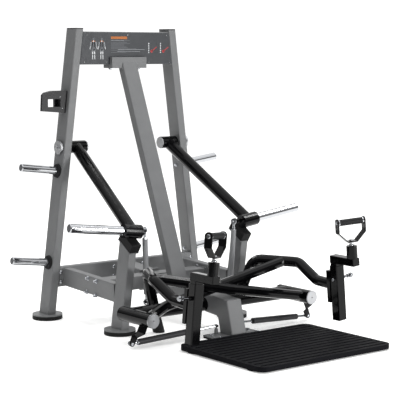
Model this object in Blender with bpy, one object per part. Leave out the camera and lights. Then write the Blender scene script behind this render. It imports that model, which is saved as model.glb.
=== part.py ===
# Plate-loaded shrug machine with two crossing lever arms.
# Metres, +Z up, +X to the right of a person who stands on the platform, +Y towards the uprights.
# Places are measured from the front faces of the uprights (Y) and the floor (Z).
# The empty called machine then moves the whole object so that its footprint is centred on the origin.

import bpy
from math import atan2, cos, pi, radians, sin, sqrt, tan
from mathutils import Vector

# Fits
gap = 0.0003                     # between pieces that touch
tube_wall = 0.003
embed = 0.001                    # how far welded pieces run into each other

# Leaning frame
frame_lean = radians(7.2)        # uprights and posts lean towards the middle
upright_width = 0.050
upright_depth = 0.100
upright_outer_x = 0.550          # outer face at floor level
frame_height = 1.618
cap_thickness = 0.006
foot_radius = 0.085
pad_thickness = 0.022
foot_plate_thickness = 0.008

# Front posts
post_width = 0.050
post_depth = 0.100
# Outer face of each front post at floor level, and its run outwards for each metre of rise
post_outer_x = {-1: 0.4686, 1: 0.354}
post_slope = {-1: -0.126, 1: 0.125}
post_front_y = -0.597
post_top_fall = 0.067            # the top slopes forward with the weight arm at rest
post_hub_drop = 0.0545           # from the weight hub's axis down to the post's back edge
bumper_width = 0.060
bumper_inset = 0.006
bumper_thickness = 0.056
bumper_plate = 0.004

# Base frame
rail_height = 0.100
rail_width = 0.050
rail_back_top = 0.285
rail_front_top = 0.263
rear_beam_depth = 0.050
cross_beam_y = -0.260
cross_beam_depth = 0.100
cross_beam_height = 0.075
cross_beam_top = 0.250
centre_beam_size = 0.100
centre_beam_top = 0.199          # at the bend of the leg
centre_beam_slope = 0.084        # rise towards the back for each metre
centre_flange = 0.010
leg_bend_y = -0.930
leg_foot_y = -0.966              # centre of the leg's tube at its foot
leg_foot_back_edge = 0.070       # of the foot plate behind the tube's centre
leg_foot_width = 0.300
leg_foot_thickness = 0.008
leg_pad_thickness = 0.008

# Header and mast
panel_drop = 0.017
panel_height = 0.1794
panel_top = frame_height - panel_drop
panel_bottom = panel_top - panel_height
panel_thickness = 0.003
header_depth = 0.080
mast_width = 0.100
mast_depth = 0.054               # measured level, so the tube is 50 mm across its own axis
mast_front_y = -0.602            # where the front face would meet the floor
head_half_width = 0.119
head_drop = 0.0216
head_height = 0.062
head_bottom = panel_bottom - head_drop
head_top = head_bottom + head_height
head_front_y = -0.022
mast_meet_rise = 0.0356          # of the mast's front edge on the head, above the head's bottom
mast_lean = (head_front_y - mast_front_y) / (head_bottom + mast_meet_rise)   # run back for each metre of rise
head_plate_back_y = 0.066
head_plate_thickness = 0.020
mast_foot_plate = 0.006

# Storage pegs on the outer faces
peg_radius = 0.0225
peg_length = 0.238
peg_collar_radius = 0.040
peg_collar_thickness = 0.010
peg_heights = {"upper": 0.830, "lower": 0.318}

# Weight arms
pivot_y = 0.045
pivot_z = 0.960
axle_radius = 0.0125
pivot_tube_radius = 0.035
pivot_tube_inner_x = 0.268
pivot_flange_radius = 0.038
pivot_flange_thickness = 0.012
weight_arm_radius = 0.035
weight_arm_top_x = 0.322
weight_arm_low_x = 0.398
weight_hub_y = -0.606
weight_hub_z = 0.5545            # on the hub's axis, above weight_arm_low_x
post_back_height = weight_hub_z - post_hub_drop
post_front_height = post_back_height - post_top_fall
weight_hub_tilt = radians(6.6)
weight_hub_sweep = radians(3)    # the horns point back a little
weight_hub_radius = 0.038
weight_hub_inner_x = 0.349
weight_hub_outer_x = 0.455
horn_radius = 0.025
horn_tip_x = 0.779
rod_ball_x = 0.308
rod_ball_back = 0.017            # the ball sits behind and above the hub's axis
rod_ball_up = 0.008
rod_top_stud_radius = 0.0045     # thin beside the ball, since the eye tilts on it

# Lever arms and their hubs
hub_x = 0.540
hub_z = 0.151
hub_radius = 0.038
hub_back_y = -0.715
hub_seam_y = -0.856
hub_front_y = -0.985
hub_axle_radius = 0.025
hub_cap_thickness = 0.006
carrier_tube_radius = 0.037
carrier_tube_y = -0.775
arm_tube_radius = 0.029
brace_radius = 0.028
brace_hub_y = {"left": -0.925, "right": -0.935}
brace_bend = {"left": (0.0, -0.920, 0.248), "right": (-0.375, -0.862, 0.188)}
brace_arch_y = {"left": -0.915, "right": -0.850}
brace_arch_x = 0.452
brace_bend_radius = 0.120
leg_foot_x = 0.246               # where the leg's axis would meet the floor
leg_foot_back_y = -0.634
leg_out = 0.345                  # outward run of the leg for each metre of rise
leg_forward = 0.170
leg_end_z = 0.078
arch_height = 0.347
arch_rear_x = 0.366
arch_front_x = 0.492
arch_front_y = -0.930
shoulder_y = -1.086
shoulder_x = 0.484
shoulder_z = 0.268
arm_end_y = -1.204
arm_end_z = 0.262
bend_radius = 0.070
arm_plate_thickness = 0.012
arm_plate_width = 0.066
arm_plate_bottom = 0.170
arm_plate_top = 0.344

# Crank and damper
crank_reach_x = 0.062            # outward from the hub
crank_pin_z = 0.026
crank_y = -0.930
crank_set_back = 0.040           # of the crank's lower end behind its upper end
crank_root_out = 0.018           # of the crank's top outward from the hub
crank_root_drop = 0.030
crank_half_width = 0.024
crank_tip_radius = 0.014
crank_bend_start = 0.038         # along the crank, where it turns back
crank_bend_end = 0.066
crank_thickness = 0.010
damper_pin_radius = 0.006
damper_eye_radius = 0.0125
damper_eye_bore = 0.0075
damper_eye_width = 0.016
damper_ball_radius = 0.0068
damper_lug_x = 0.078
damper_lug_z = 0.058
damper_radius = 0.016
damper_body_length = 0.345
damper_neck = {-1: 0.026, 1: 0.090}   # between the body and its eye, on each side
damper_rod_radius = 0.007
damper_piston_depth = 0.150

# Lift rods
rod_low_x = 0.288
rod_low_y = -0.583
rod_low_z = 0.160
lift_rod_radius = 0.015
lift_rod_neck = 0.008
rod_eye_radius = 0.018
rod_eye_bore = 0.0115
rod_eye_width = 0.014
rod_eye_turn = radians(26)       # of the upper eye about the upright line, so that it clears the hub
rod_low_bore = 0.0130            # wide, since the rod's lower end is free to wander a little
rod_low_ball = 0.0078
rod_stud_radius = 0.006

# Handle posts
post_lean = radians(5.34)
handle_post_width = 0.056
handle_post_depth = 0.056
handle_post_bottom_z = 0.076
handle_post_top_z = 0.371
handle_post_x = 0.4715           # centre at the top of the post
handle_slider_clear = 0.0010
slider_wall = 0.003
slider_insert = 0.200
offset_width = 0.048
offset_bottom = 0.014            # heights above the top of the post, along its lean
offset_top = 0.055
offset_front_y = -1.406
round_post_radius = 0.029
round_post_top = 0.122
round_post_y = -1.375
pull_pin_z = 0.300
pull_pin_radius = 0.005
pull_knob_radius = 0.0145

# Swivel handles
strap_bottom = 0.020             # heights above the round post
strap_bend = 0.072
grip_height = 0.127
strap_width = 0.042
strap_thickness = 0.006
strap_foot_half = 0.026
strap_half_span = 0.075
grip_radius = 0.0170
grip_rod_radius = 0.008
strap_bolt_radius = 0.011
strap_bolt_edge = 0.003
handle_turn = {"left": radians(24), "right": radians(20)}

# Platform
platform_half_width = 0.4385
platform_back_y = -1.054
platform_front_y = -1.706
platform_top = 0.031
platform_thickness = 0.025
platform_corner = 0.045
platform_foot_radius = 0.048
groove_count = 14
groove_width = 0.014
groove_depth = 0.004
groove_margin = 0.032

# Holder on the left upright
holder_z = 1.215
holder_inner_height = 0.124      # against the upright
holder_outer_height = 0.098
holder_width = 0.163
holder_front_y = 0.024
holder_depth = 0.046
holder_outer_depth = 0.012       # the rim is shallow at the outer end
holder_mount_width = 0.060
holder_wall = 0.008
holder_window_width = 0.081
holder_window_height = 0.043

vent_radius = 0.004              # of the small holes that open the closed tubes
vent_depth = 0.012
round_steps = 16
hub_steps = 28                   # fine enough for the hub's facets to turn in its bore
damper_axis_y = crank_y + crank_thickness / 2 + gap + damper_eye_width / 2
sides = {"left": -1, "right": 1}
machine_centre_y = -(platform_front_y + upright_depth / 2 + foot_radius) / 2


def clear_scene():
    for item in list(bpy.data.objects):
        bpy.data.objects.remove(item, do_unlink=True)


# Materials

def material(name, colour, roughness, metallic):
    made = bpy.data.materials.new(name)
    made.use_nodes = True
    shader = made.node_tree.nodes["Principled BSDF"]
    shader.inputs["Base Color"].default_value = (*colour, 1.0)
    shader.inputs["Roughness"].default_value = roughness
    shader.inputs["Metallic"].default_value = metallic
    made.diffuse_color = (*colour, 1.0)
    return made


def make_materials():
    return {
        "grey_paint": material("grey_paint", (0.23, 0.23, 0.235), 0.45, 0.0),
        "black_paint": material("black_paint", (0.012, 0.012, 0.013), 0.35, 0.0),
        "panel_paint": material("panel_paint", (0.10, 0.10, 0.105), 0.5, 0.0),
        "chrome": material("chrome", (0.80, 0.80, 0.82), 0.12, 1.0),
        "zinc": material("zinc", (0.62, 0.62, 0.64), 0.35, 1.0),
        "rubber": material("rubber", (0.010, 0.010, 0.010), 0.75, 0.0),
        "plastic": material("plastic", (0.014, 0.014, 0.015), 0.5, 0.0),
    }


# Outlines

def circle(radius, count=round_steps):
    return [(radius * cos(2 * pi * i / count), radius * sin(2 * pi * i / count)) for i in range(count)]


def rounded_rectangle(width, height, radius, steps=3):
    points = []
    corners = ((1, 1, 0), (-1, 1, 90), (-1, -1, 180), (1, -1, 270))
    for side_u, side_v, start in corners:
        centre_u = side_u * (width / 2 - radius)
        centre_v = side_v * (height / 2 - radius)
        for i in range(steps + 1):
            angle = radians(start + 90 * i / steps)
            points.append((centre_u + radius * cos(angle), centre_v + radius * sin(angle)))
    return points


def rectangle_pair(width, height, wall, radius=0.006):
    # The outer and inner outline of a rectangular tube, with as many points each
    outer = rounded_rectangle(width, height, radius)
    inner = rounded_rectangle(width - 2 * wall, height - 2 * wall, max(radius - wall, 0.001))
    return outer, inner


# Shapes as vertices and faces

def plane_cut(point, normal):
    # Slides a point along a direction until it lies in the plane
    def cut(start, direction):
        return start + direction * ((point - start).dot(normal) / direction.dot(normal))
    return cut


def round_cut(axis_point, axis, radius, near):
    # Slides a point along a direction until it lies on a cylinder: a coped tube end
    axis = axis.normalized()

    def cut(start, direction):
        offset = start - axis_point
        flat_offset = offset - axis * offset.dot(axis)
        flat_direction = direction - axis * direction.dot(axis)
        square = flat_direction.dot(flat_direction)
        half = flat_offset.dot(flat_direction)
        rest = flat_offset.dot(flat_offset) - radius * radius
        root = sqrt(max(half * half - square * rest, 0.0))
        return start + direction * ((-half + near * root) / square)
    return cut


def bent_path(corners, radius, steps=4):
    # Straight runs between the corners, with an arc of the given radius at each inner corner
    points = [Vector(corners[0])]
    for i in range(1, len(corners) - 1):
        corner = Vector(corners[i])
        back = (Vector(corners[i - 1]) - corner).normalized()
        ahead = (Vector(corners[i + 1]) - corner).normalized()
        half_angle = back.angle(ahead) / 2
        inward = (back + ahead).normalized()
        centre = corner + inward * (radius / sin(half_angle))
        first = corner + back * (radius / tan(half_angle)) - centre
        last = corner + ahead * (radius / tan(half_angle)) - centre
        turn = first.angle(last)
        for k in range(steps + 1):
            share = k / steps
            spoke = (first * sin((1 - share) * turn) + last * sin(share * turn)) / sin(turn)
            points.append(centre + spoke)
    points.append(Vector(corners[-1]))
    return points


def swept(path, outer, inner=None, up=(0, 0, 1), start_cut=None, end_cut=None):
    # Carries an outline along a path, with mitred rings at the points between the ends
    path = [Vector(point) for point in path]
    runs = [(path[i + 1] - path[i]).normalized() for i in range(len(path) - 1)]
    first_u = Vector(up).cross(runs[0]).normalized()
    first_v = runs[0].cross(first_u)
    loops = [outer] if inner is None else [outer, inner]
    rings = []
    for loop in loops:
        start = [path[0] + first_u * u + first_v * v for u, v in loop]
        begin = start_cut or plane_cut(path[0], runs[0])
        rows = [[begin(point, runs[0]) for point in start]]
        for i in range(1, len(path) - 1):
            mitre = plane_cut(path[i], (runs[i - 1] + runs[i]).normalized())
            rows.append([mitre(point, runs[i - 1]) for point in rows[-1]])
        finish = end_cut or plane_cut(path[-1], runs[-1])
        rows.append([finish(point, runs[-1]) for point in rows[-1]])
        rings.append(rows)
    return skin(rings)


def skin(rings):
    # Closes one set of rings with caps, or an outer and an inner set into a pipe
    verts = [tuple(point) for rows in rings for row in rows for point in row]
    count = len(rings[0][0])
    rows = len(rings[0])
    faces = []
    for k in range(len(rings)):
        base = k * rows * count
        for i in range(rows - 1):
            for j in range(count):
                following = (j + 1) % count
                quad = [base + i * count + j, base + i * count + following,
                        base + (i + 1) * count + following, base + (i + 1) * count + j]
                faces.append(quad if k == 0 else quad[::-1])
    last = (rows - 1) * count
    if len(rings) == 1:
        faces.append(list(range(count))[::-1])
        faces.append([last + j for j in range(count)])
    else:
        inside = rows * count
        for j in range(count):
            following = (j + 1) % count
            faces.append([j, inside + j, inside + following, following])
            faces.append([last + j, last + following, inside + last + following, inside + last + j])
    return verts, faces


def turned(stations, origin, axis, count=round_steps, closed=False):
    # Turns (distance along the axis, radius) stations about the axis; closed joins the last to the first
    axis = Vector(axis).normalized()
    helper = Vector((0, 0, 1)) if abs(axis.z) < 0.9 else Vector((1, 0, 0))
    across = helper.cross(axis).normalized()
    upward = axis.cross(across)
    origin = Vector(origin)
    verts = []
    starts = []
    for along, radius in stations:
        starts.append((len(verts), radius > 0))
        if radius > 0:
            for i in range(count):
                angle = 2 * pi * i / count
                spoke = across * cos(angle) + upward * sin(angle)
                verts.append(tuple(origin + axis * along + spoke * radius))
        else:
            verts.append(tuple(origin + axis * along))
    faces = []
    pairs = list(zip(range(len(starts) - 1), range(1, len(starts))))
    if closed:
        pairs.append((len(starts) - 1, 0))
    for low, high in pairs:
        low_start, low_ring = starts[low]
        high_start, high_ring = starts[high]
        for i in range(count):
            j = (i + 1) % count
            if low_ring and high_ring:
                faces.append([low_start + i, low_start + j, high_start + j, high_start + i])
            elif low_ring:
                faces.append([low_start + i, low_start + j, high_start])
            elif high_ring:
                faces.append([low_start, high_start + j, high_start + i])
    return verts, faces


def solid_pin(stations, origin, axis, count=round_steps):
    # A turned solid whose ends are closed flat
    full = [(stations[0][0], 0.0)] + list(stations) + [(stations[-1][0], 0.0)]
    return turned(full, origin, axis, count)


def block(low, high):
    (x0, y0, z0), (x1, y1, z1) = low, high
    verts = [(x0, y0, z0), (x1, y0, z0), (x1, y1, z0), (x0, y1, z0),
             (x0, y0, z1), (x1, y0, z1), (x1, y1, z1), (x0, y1, z1)]
    faces = [[3, 2, 1, 0], [4, 5, 6, 7], [0, 1, 5, 4], [1, 2, 6, 5], [2, 3, 7, 6], [3, 0, 4, 7]]
    return verts, faces


def mirrored_pair(low, high, side):
    # A block given for the right side, moved to the side that is asked for
    x0, x1 = sorted((low[0] * side, high[0] * side))
    return block((x0, low[1], low[2]), (x1, high[1], high[2]))


def prism(outline, start, end):
    # Extrudes a closed outline of points by the vector from start to end
    shift = Vector(end) - Vector(start)
    count = len(outline)
    verts = [tuple(Vector(point)) for point in outline]
    verts += [tuple(Vector(point) + shift) for point in outline]
    faces = [list(range(count)), [count + i for i in range(count)][::-1]]
    for i in range(count):
        j = (i + 1) % count
        faces.append([i, count + i, count + j, j])
    return verts, faces


# Objects

def add_object(name, shape, paint, pivot=(0, 0, 0), smooth=True):
    verts, faces = shape
    pivot = Vector(pivot)
    mesh = bpy.data.meshes.new(name)
    mesh.from_pydata([tuple(Vector(v) - pivot) for v in verts], [], faces)
    fix_winding(mesh)
    if smooth:
        mesh.shade_smooth()
        mesh.set_sharp_from_angle(angle=radians(35))
    made = bpy.data.objects.new(name, mesh)
    bpy.context.collection.objects.link(made)
    made.parent = machine
    made.location = pivot
    if paint is not None:
        mesh.materials.append(paint)
    return made


def fix_winding(mesh):
    # Turns the faces outwards where the signed volume is negative
    mesh.calc_loop_triangles()
    total = 0.0
    for triangle in mesh.loop_triangles:
        a, b, c = (mesh.vertices[i].co for i in triangle.vertices)
        total += a.dot(b.cross(c))
    if total < 0:
        mesh.flip_normals()
    mesh.update()


def helper(name, shape, pivot=(0, 0, 0)):
    made = add_object(name, shape, None, pivot, smooth=False)
    made.hide_render = True
    made.display_type = "WIRE"
    return made


def combine(main, operation, *others):
    for other in others:
        step = main.modifiers.new(other.name, "BOOLEAN")
        step.operation = operation
        step.solver = "EXACT"
        step.object = other
    return main


def unite(main, *others):
    return combine(main, "UNION", *others)


def cut_away(main, *others):
    return combine(main, "DIFFERENCE", *others)


def soften(made, width, segments=1):
    step = made.modifiers.new("edges", "BEVEL")
    step.width = width
    step.segments = segments
    step.limit_method = "ANGLE"
    step.angle_limit = radians(40)
    step.use_clamp_overlap = True
    return made


# Lines of the leaning frame

def upright_x(z):
    # Centre of an upright, before the side's sign
    return upright_outer_x - upright_width / 2 - tan(frame_lean) * z


def post_x(z, side):
    # Centre of a front post: the left one spreads towards its foot and the right one closes in
    return post_outer_x[side] - post_width / 2 + post_slope[side] * z


def lean_cut(face_x, side):
    # A plane parallel to an upright's inner or outer face, at the given distance out at floor level
    point = Vector((side * face_x, 0, 0))
    normal = Vector((side * cos(frame_lean), 0, sin(frame_lean)))
    return plane_cut(point, normal)


def leaning_tube(centre_x, centre_y, width, depth, low, high, side, high_back=None):
    # An upright tube with level ends, or with a top that rises to high_back at its rear face
    outer, inner = rectangle_pair(width, depth, tube_wall)
    rings = []
    for loop in (outer, inner):
        rows = []
        for level in ("low", "high"):
            row = []
            for u, v in loop:
                z = low
                if level == "high":
                    share = (v + depth / 2) / depth
                    z = high if high_back is None else high + (high_back - high) * share
                row.append(Vector((side * centre_x(z) + u, centre_y + v, z)))
            rows.append(row)
        rings.append(rows)
    return skin(rings)


# Frame

def make_upright(name, side, paint):
    base = pad_thickness + foot_plate_thickness
    tube = leaning_tube(upright_x, upright_depth / 2, upright_width, upright_depth,
                        base - embed, frame_height, side)
    upright = add_object("upright_" + name, tube, paint["grey_paint"])
    centre = (side * upright_x(base), upright_depth / 2, pad_thickness + gap)
    plate = helper("upright_plate_" + name, solid_pin(
        [(0, foot_radius), (foot_plate_thickness - gap, foot_radius)], centre, (0, 0, 1), 28))
    unite(upright, plate)
    top = (side * upright_x(frame_height), upright_depth / 2, frame_height + gap)
    cap_outline = rounded_rectangle(upright_width, upright_depth, 0.006)
    cap = swept([top, (top[0], top[1], frame_height + cap_thickness)], cap_outline, up=(0, 1, 0))
    add_object("upright_cap_" + name, cap, paint["plastic"])
    add_object("foot_pad_rear_" + name, solid_pin(
        [(0, foot_radius - 0.003), (0.003, foot_radius), (pad_thickness, foot_radius)],
        (centre[0], centre[1], 0), (0, 0, 1), 28), paint["rubber"])


def make_front_post(name, side, paint):
    base = pad_thickness + foot_plate_thickness
    centre_y = post_front_y + post_depth / 2
    tube = leaning_tube(lambda z: post_x(z, side), centre_y, post_width, post_depth, base - embed,
                        post_front_height, side, post_back_height)
    post = add_object("front_post_" + name, tube, paint["grey_paint"])
    centre = (side * post_x(base, side), centre_y, pad_thickness + gap)
    plate = helper("post_plate_" + name, solid_pin(
        [(0, foot_radius), (foot_plate_thickness - gap, foot_radius)], centre, (0, 0, 1), 28))
    unite(post, plate)
    add_object("foot_pad_front_" + name, solid_pin(
        [(0, foot_radius - 0.003), (0.003, foot_radius), (pad_thickness, foot_radius)],
        (centre[0], centre[1], 0), (0, 0, 1), 28), paint["rubber"])
    # A plate and a thick rubber bumper stand square to the sloping top
    back_y = post_front_y + post_depth
    along = Vector((0, post_depth, post_back_height - post_front_height)).normalized()
    square = Vector((0, -along.z, along.y))
    x = side * (post_x(post_front_height, side) - bumper_inset)
    low = Vector((x - bumper_width / 2, post_front_y - 0.002, post_front_height)) - along * 0.001
    high = Vector((x - bumper_width / 2, back_y + 0.002, post_back_height)) + along * 0.001
    across = Vector((bumper_width, 0, 0))
    plate_shape = prism([low - square * embed, high - square * embed, high + square * bumper_plate,
                         low + square * bumper_plate], (0, 0, 0), across)
    unite(post, helper("bumper_plate_" + name, plate_shape))
    seat = bumper_plate + gap
    bumper = add_object("post_bumper_" + name, prism(
        [low + square * seat, high + square * seat,
         high + square * bumper_thickness, low + square * bumper_thickness],
        (0, 0, 0), across), paint["rubber"], smooth=False)
    soften(bumper, 0.003)


def make_base(paint):
    # The rear beam runs between the uprights, with its ends cut to their lean
    top = rail_back_top + 0.007
    height = rail_height + 0.012
    outer, inner = rectangle_pair(rear_beam_depth, height, tube_wall)
    face = upright_outer_x - upright_width - gap * 2
    centre_y = rear_beam_depth / 2 + 0.002
    z = top - height / 2
    beam = swept([(-0.3, centre_y, z), (0.3, centre_y, z)], outer, inner,
                 start_cut=lean_cut(face, -1), end_cut=lean_cut(face, 1))
    rear_beam = add_object("rear_beam", beam, paint["grey_paint"])
    # Side rails run from the rear beam to the front posts, falling a little
    outer, inner = rectangle_pair(rail_width, rail_height, tube_wall)
    for name, side in sides.items():
        x = side * post_x(rail_front_top - rail_height / 2, side)
        back_y = centre_y - rear_beam_depth / 2 - gap
        front_y = post_front_y + post_depth + gap * 2
        start = (x, back_y, rail_back_top - rail_height / 2)
        end = (x, front_y, rail_front_top - rail_height / 2)
        flat_back = plane_cut(Vector(start), Vector((0, 1, 0)))
        flat_front = plane_cut(Vector(end), Vector((0, 1, 0)))
        rail = swept([start, end], outer, inner, start_cut=flat_back, end_cut=flat_front)
        add_object("side_rail_" + name, rail, paint["grey_paint"])
    make_middle_frame(paint)
    return rear_beam


def make_middle_frame(paint):
    # One weldment: cross beam between the rails, flange, centre beam and the leg at its front
    rail_middle_z = rail_front_top - rail_height / 2
    rail_inner_x = {side: post_x(rail_middle_z, side) - rail_width / 2 - gap for side in (-1, 1)}
    z = cross_beam_top - cross_beam_height / 2
    outer, inner = rectangle_pair(cross_beam_depth, cross_beam_height, tube_wall)
    cross = swept([(-rail_inner_x[-1] + 0.004, cross_beam_y, z), (rail_inner_x[1] - 0.004, cross_beam_y, z)],
                  outer, inner)
    middle = add_object("middle_frame", cross, paint["grey_paint"])
    parts = []
    for name, side in sides.items():
        parts.append(helper("cross_plate_" + name, mirrored_pair(
            (rail_inner_x[side] - 0.010, cross_beam_y - 0.060, z - 0.046),
            (rail_inner_x[side], cross_beam_y + 0.060, z + 0.042), side)))
    half = centre_beam_size / 2
    cross_front = cross_beam_y - cross_beam_depth / 2
    cross_back = cross_beam_y + cross_beam_depth / 2
    # Flanges on the front and the back of the cross beam
    for name, low_y, high_y in (("front", cross_front - centre_flange, cross_front + embed),
                                ("back", cross_back - embed, cross_back + centre_flange)):
        parts.append(helper("beam_flange_" + name, block(
            (-half - 0.015, low_y, beam_top(low_y) - 2 * half - 0.012),
            (half + 0.015, high_y, beam_top(high_y) + 0.003))))
    outer, inner = rectangle_pair(centre_beam_size, centre_beam_size, tube_wall, 0.008)
    start_y = cross_front - centre_flange + embed
    corners = [(0, start_y, beam_top(start_y) - half), (0, leg_bend_y, beam_top(leg_bend_y) - half),
               (0, leg_foot_y, leg_pad_thickness + leg_foot_thickness - embed)]
    square_cut = plane_cut(Vector(corners[0]), Vector((0, 1, 0)))
    level = plane_cut(Vector(corners[-1]), Vector((0, 0, 1)))
    parts.append(helper("beam_and_leg", swept(corners, outer, inner, start_cut=square_cut, end_cut=level)))
    spine_front = cross_back + centre_flange - embed
    spine = [(0, spine_front, beam_top(spine_front) - half), (0, -gap, beam_top(0) - half)]
    parts.append(helper("spine", swept(spine, outer, inner,
                                       start_cut=plane_cut(Vector(spine[0]), Vector((0, 1, 0))),
                                       end_cut=plane_cut(Vector(spine[1]), Vector((0, 1, 0))))))
    # The foot plate reaches forward to the platform
    foot_front = platform_back_y + gap
    foot_back = leg_foot_y + leg_foot_back_edge
    parts.append(helper("leg_foot", block(
        (-leg_foot_width / 2, foot_front, leg_pad_thickness + gap),
        (leg_foot_width / 2, foot_back, leg_pad_thickness + leg_foot_thickness))))
    # A ball on a post at each side of the leg holds the damper's inner end
    for name, side in sides.items():
        foot = (side * damper_lug_x, damper_axis_y, leg_pad_thickness + leg_foot_thickness - embed)
        rise = damper_lug_z - foot[2]
        parts.append(helper("damper_ball_" + name, solid_pin(
            [(0, 0.011), (rise - 0.014, 0.009), (rise - 0.014, 0.0045), (rise - 0.005, 0.0045),
             (rise, damper_ball_radius),
             (rise + 0.005, 0.0045), (rise + 0.009, 0.0045)], foot, (0, 0, 1), 12)))
    unite(middle, *parts)
    # The hollows open through small holes
    vents = [helper("beam_vent_%d" % i,
                    solid_pin([(0, 0.006), (0.02, 0.006)], (x, cross_beam_y, z - 0.045), (0, 0, 1), 8))
             for i, x in enumerate((-0.2, 0.2))]
    vents.append(helper("leg_vent", solid_pin([(0, 0.008), (0.03, 0.008)], (0, leg_foot_y, 0.0), (0, 0, 1), 8)))
    cut_away(middle, *vents)
    pad_outline = rounded_rectangle(leg_foot_width + 0.006, foot_back - foot_front - 0.004, 0.008)
    pad_y = (foot_front + foot_back) / 2
    pad = swept([(0, pad_y, 0), (0, pad_y, leg_pad_thickness)], pad_outline, up=(0, 1, 0))
    add_object("centre_foot_pad", pad, paint["rubber"])
    return middle


def beam_top(y):
    # Height of the centre beam's top face
    return centre_beam_top + centre_beam_slope * (y - leg_bend_y)


def damper_pin(start):
    # A pin that stands back from a lug's middle plane, with a head that keeps the eye on
    reach = crank_thickness / 2 + damper_eye_width + gap * 3
    head = reach + 0.004
    return solid_pin([(0, damper_pin_radius), (reach, damper_pin_radius), (reach, damper_pin_radius + 0.003),
                      (head, damper_pin_radius + 0.003)], start, (0, 1, 0), 12)


def make_header(paint):
    # Tube between the uprights, cut to their lean, with the panel on its front face
    face = upright_outer_x - upright_width - gap * 2
    top = panel_top + 0.004
    bottom = head_bottom + head_plate_thickness + gap * 2
    outer, inner = rectangle_pair(header_depth, top - bottom, tube_wall)
    z = (top + bottom) / 2
    y = panel_thickness + 0.002 + header_depth / 2 + gap
    beam = swept([(-0.2, y, z), (0.2, y, z)], outer, inner,
                 start_cut=lean_cut(face, -1), end_cut=lean_cut(face, 1))
    add_object("header_beam", beam, paint["grey_paint"])
    clearance = 0.0015
    half = [upright_x(level) - upright_width / 2 - clearance for level in (panel_bottom, panel_top)]
    outline = [(-half[0], 0.002, panel_bottom), (half[0], 0.002, panel_bottom),
               (half[1], 0.002, panel_top), (-half[1], 0.002, panel_top)]
    panel = add_object("header_panel", prism(outline, (0, 0, 0), (0, panel_thickness, 0)),
                       paint["panel_paint"], smooth=False)
    return panel


def mast_y(z):
    return mast_front_y + mast_lean * z


def mast_foot_height():
    # Where the mast's front face meets the foot plate
    rise = mast_foot_plate - embed
    return (beam_top(mast_front_y) + rise) / (1 - centre_beam_slope * mast_lean)


def mast_foot_point(u, v):
    # A point of the outline at u, v, carried down the mast onto the sloping foot plate
    start_y = mast_front_y + mast_depth / 2 + v
    z = (beam_top(start_y) + mast_foot_plate - embed) / (1 - centre_beam_slope * mast_lean)
    return Vector((u, start_y + mast_lean * z, z))


def make_mast(paint):
    # Leaning tube with its head: a block in front of the panel and a plate under the header
    outer, inner = rectangle_pair(mast_width, mast_depth, tube_wall)
    low = mast_foot_height()
    high = head_top - 0.018
    rings = []
    for loop in (outer, inner):
        foot_row = [mast_foot_point(u, v) for u, v in loop]
        rings.append([foot_row, [Vector((u, mast_y(high) + mast_depth / 2 + v, high)) for u, v in loop]])
    mast = add_object("mast", skin(rings), paint["grey_paint"])
    back_cut = helper("mast_top_cut", block((-0.2, head_front_y + embed, head_bottom + embed),
                                            (0.2, 0.2, head_top + 0.05)))
    cut_away(mast, back_cut)
    front_block = helper("mast_head_block", block(
        (-head_half_width, head_front_y, head_bottom), (head_half_width, 0.002 - gap, head_top)))
    plate = helper("mast_head_plate", block(
        (-head_half_width, -embed, head_bottom),
        (head_half_width, head_plate_back_y, head_bottom + head_plate_thickness)))
    foot_front = mast_y(low) - 0.018
    foot_back = mast_y(low) + mast_depth + 0.018
    foot_x = -mast_width / 2 + 0.001
    outline = [(foot_x, y, beam_top(y) + rise) for y, rise in (
        (foot_front, gap), (foot_back, gap), (foot_back, mast_foot_plate), (foot_front, mast_foot_plate))]
    foot = helper("mast_foot", prism(outline, (0, 0, 0), (-2 * foot_x, 0, 0)))
    unite(mast, front_block, plate, foot)
    vent = helper("mast_vent", solid_pin([(0, 0.006), (0.012, 0.006)],
                                         (0, mast_y(0.5) + mast_depth - 0.006, 0.5), (0, 1, 0), 8))
    cut_away(mast, vent)
    return mast


def make_storage(paint):
    # Chrome pegs square to the leaning uprights, each with a black collar
    for name, side in sides.items():
        outward = Vector((side * cos(frame_lean), 0, sin(frame_lean)))
        for level, z in peg_heights.items():
            face = Vector((side * (upright_x(z) + upright_width / 2), upright_depth / 2, z))
            peg = solid_pin([(gap * 2, peg_radius), (peg_length - 0.004, peg_radius),
                             (peg_length, peg_radius - 0.004)],
                            face, outward, 20)
            add_object("storage_peg_%s_%s" % (level, name), peg, paint["chrome"])
            bore = peg_radius + gap
            collar = turned([(gap * 2, bore), (gap * 2, peg_collar_radius),
                             (peg_collar_thickness, peg_collar_radius - 0.003),
                             (peg_collar_thickness, bore)], face, outward, 20, closed=True)
            add_object("peg_collar_%s_%s" % (level, name), collar, paint["rubber"])


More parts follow.
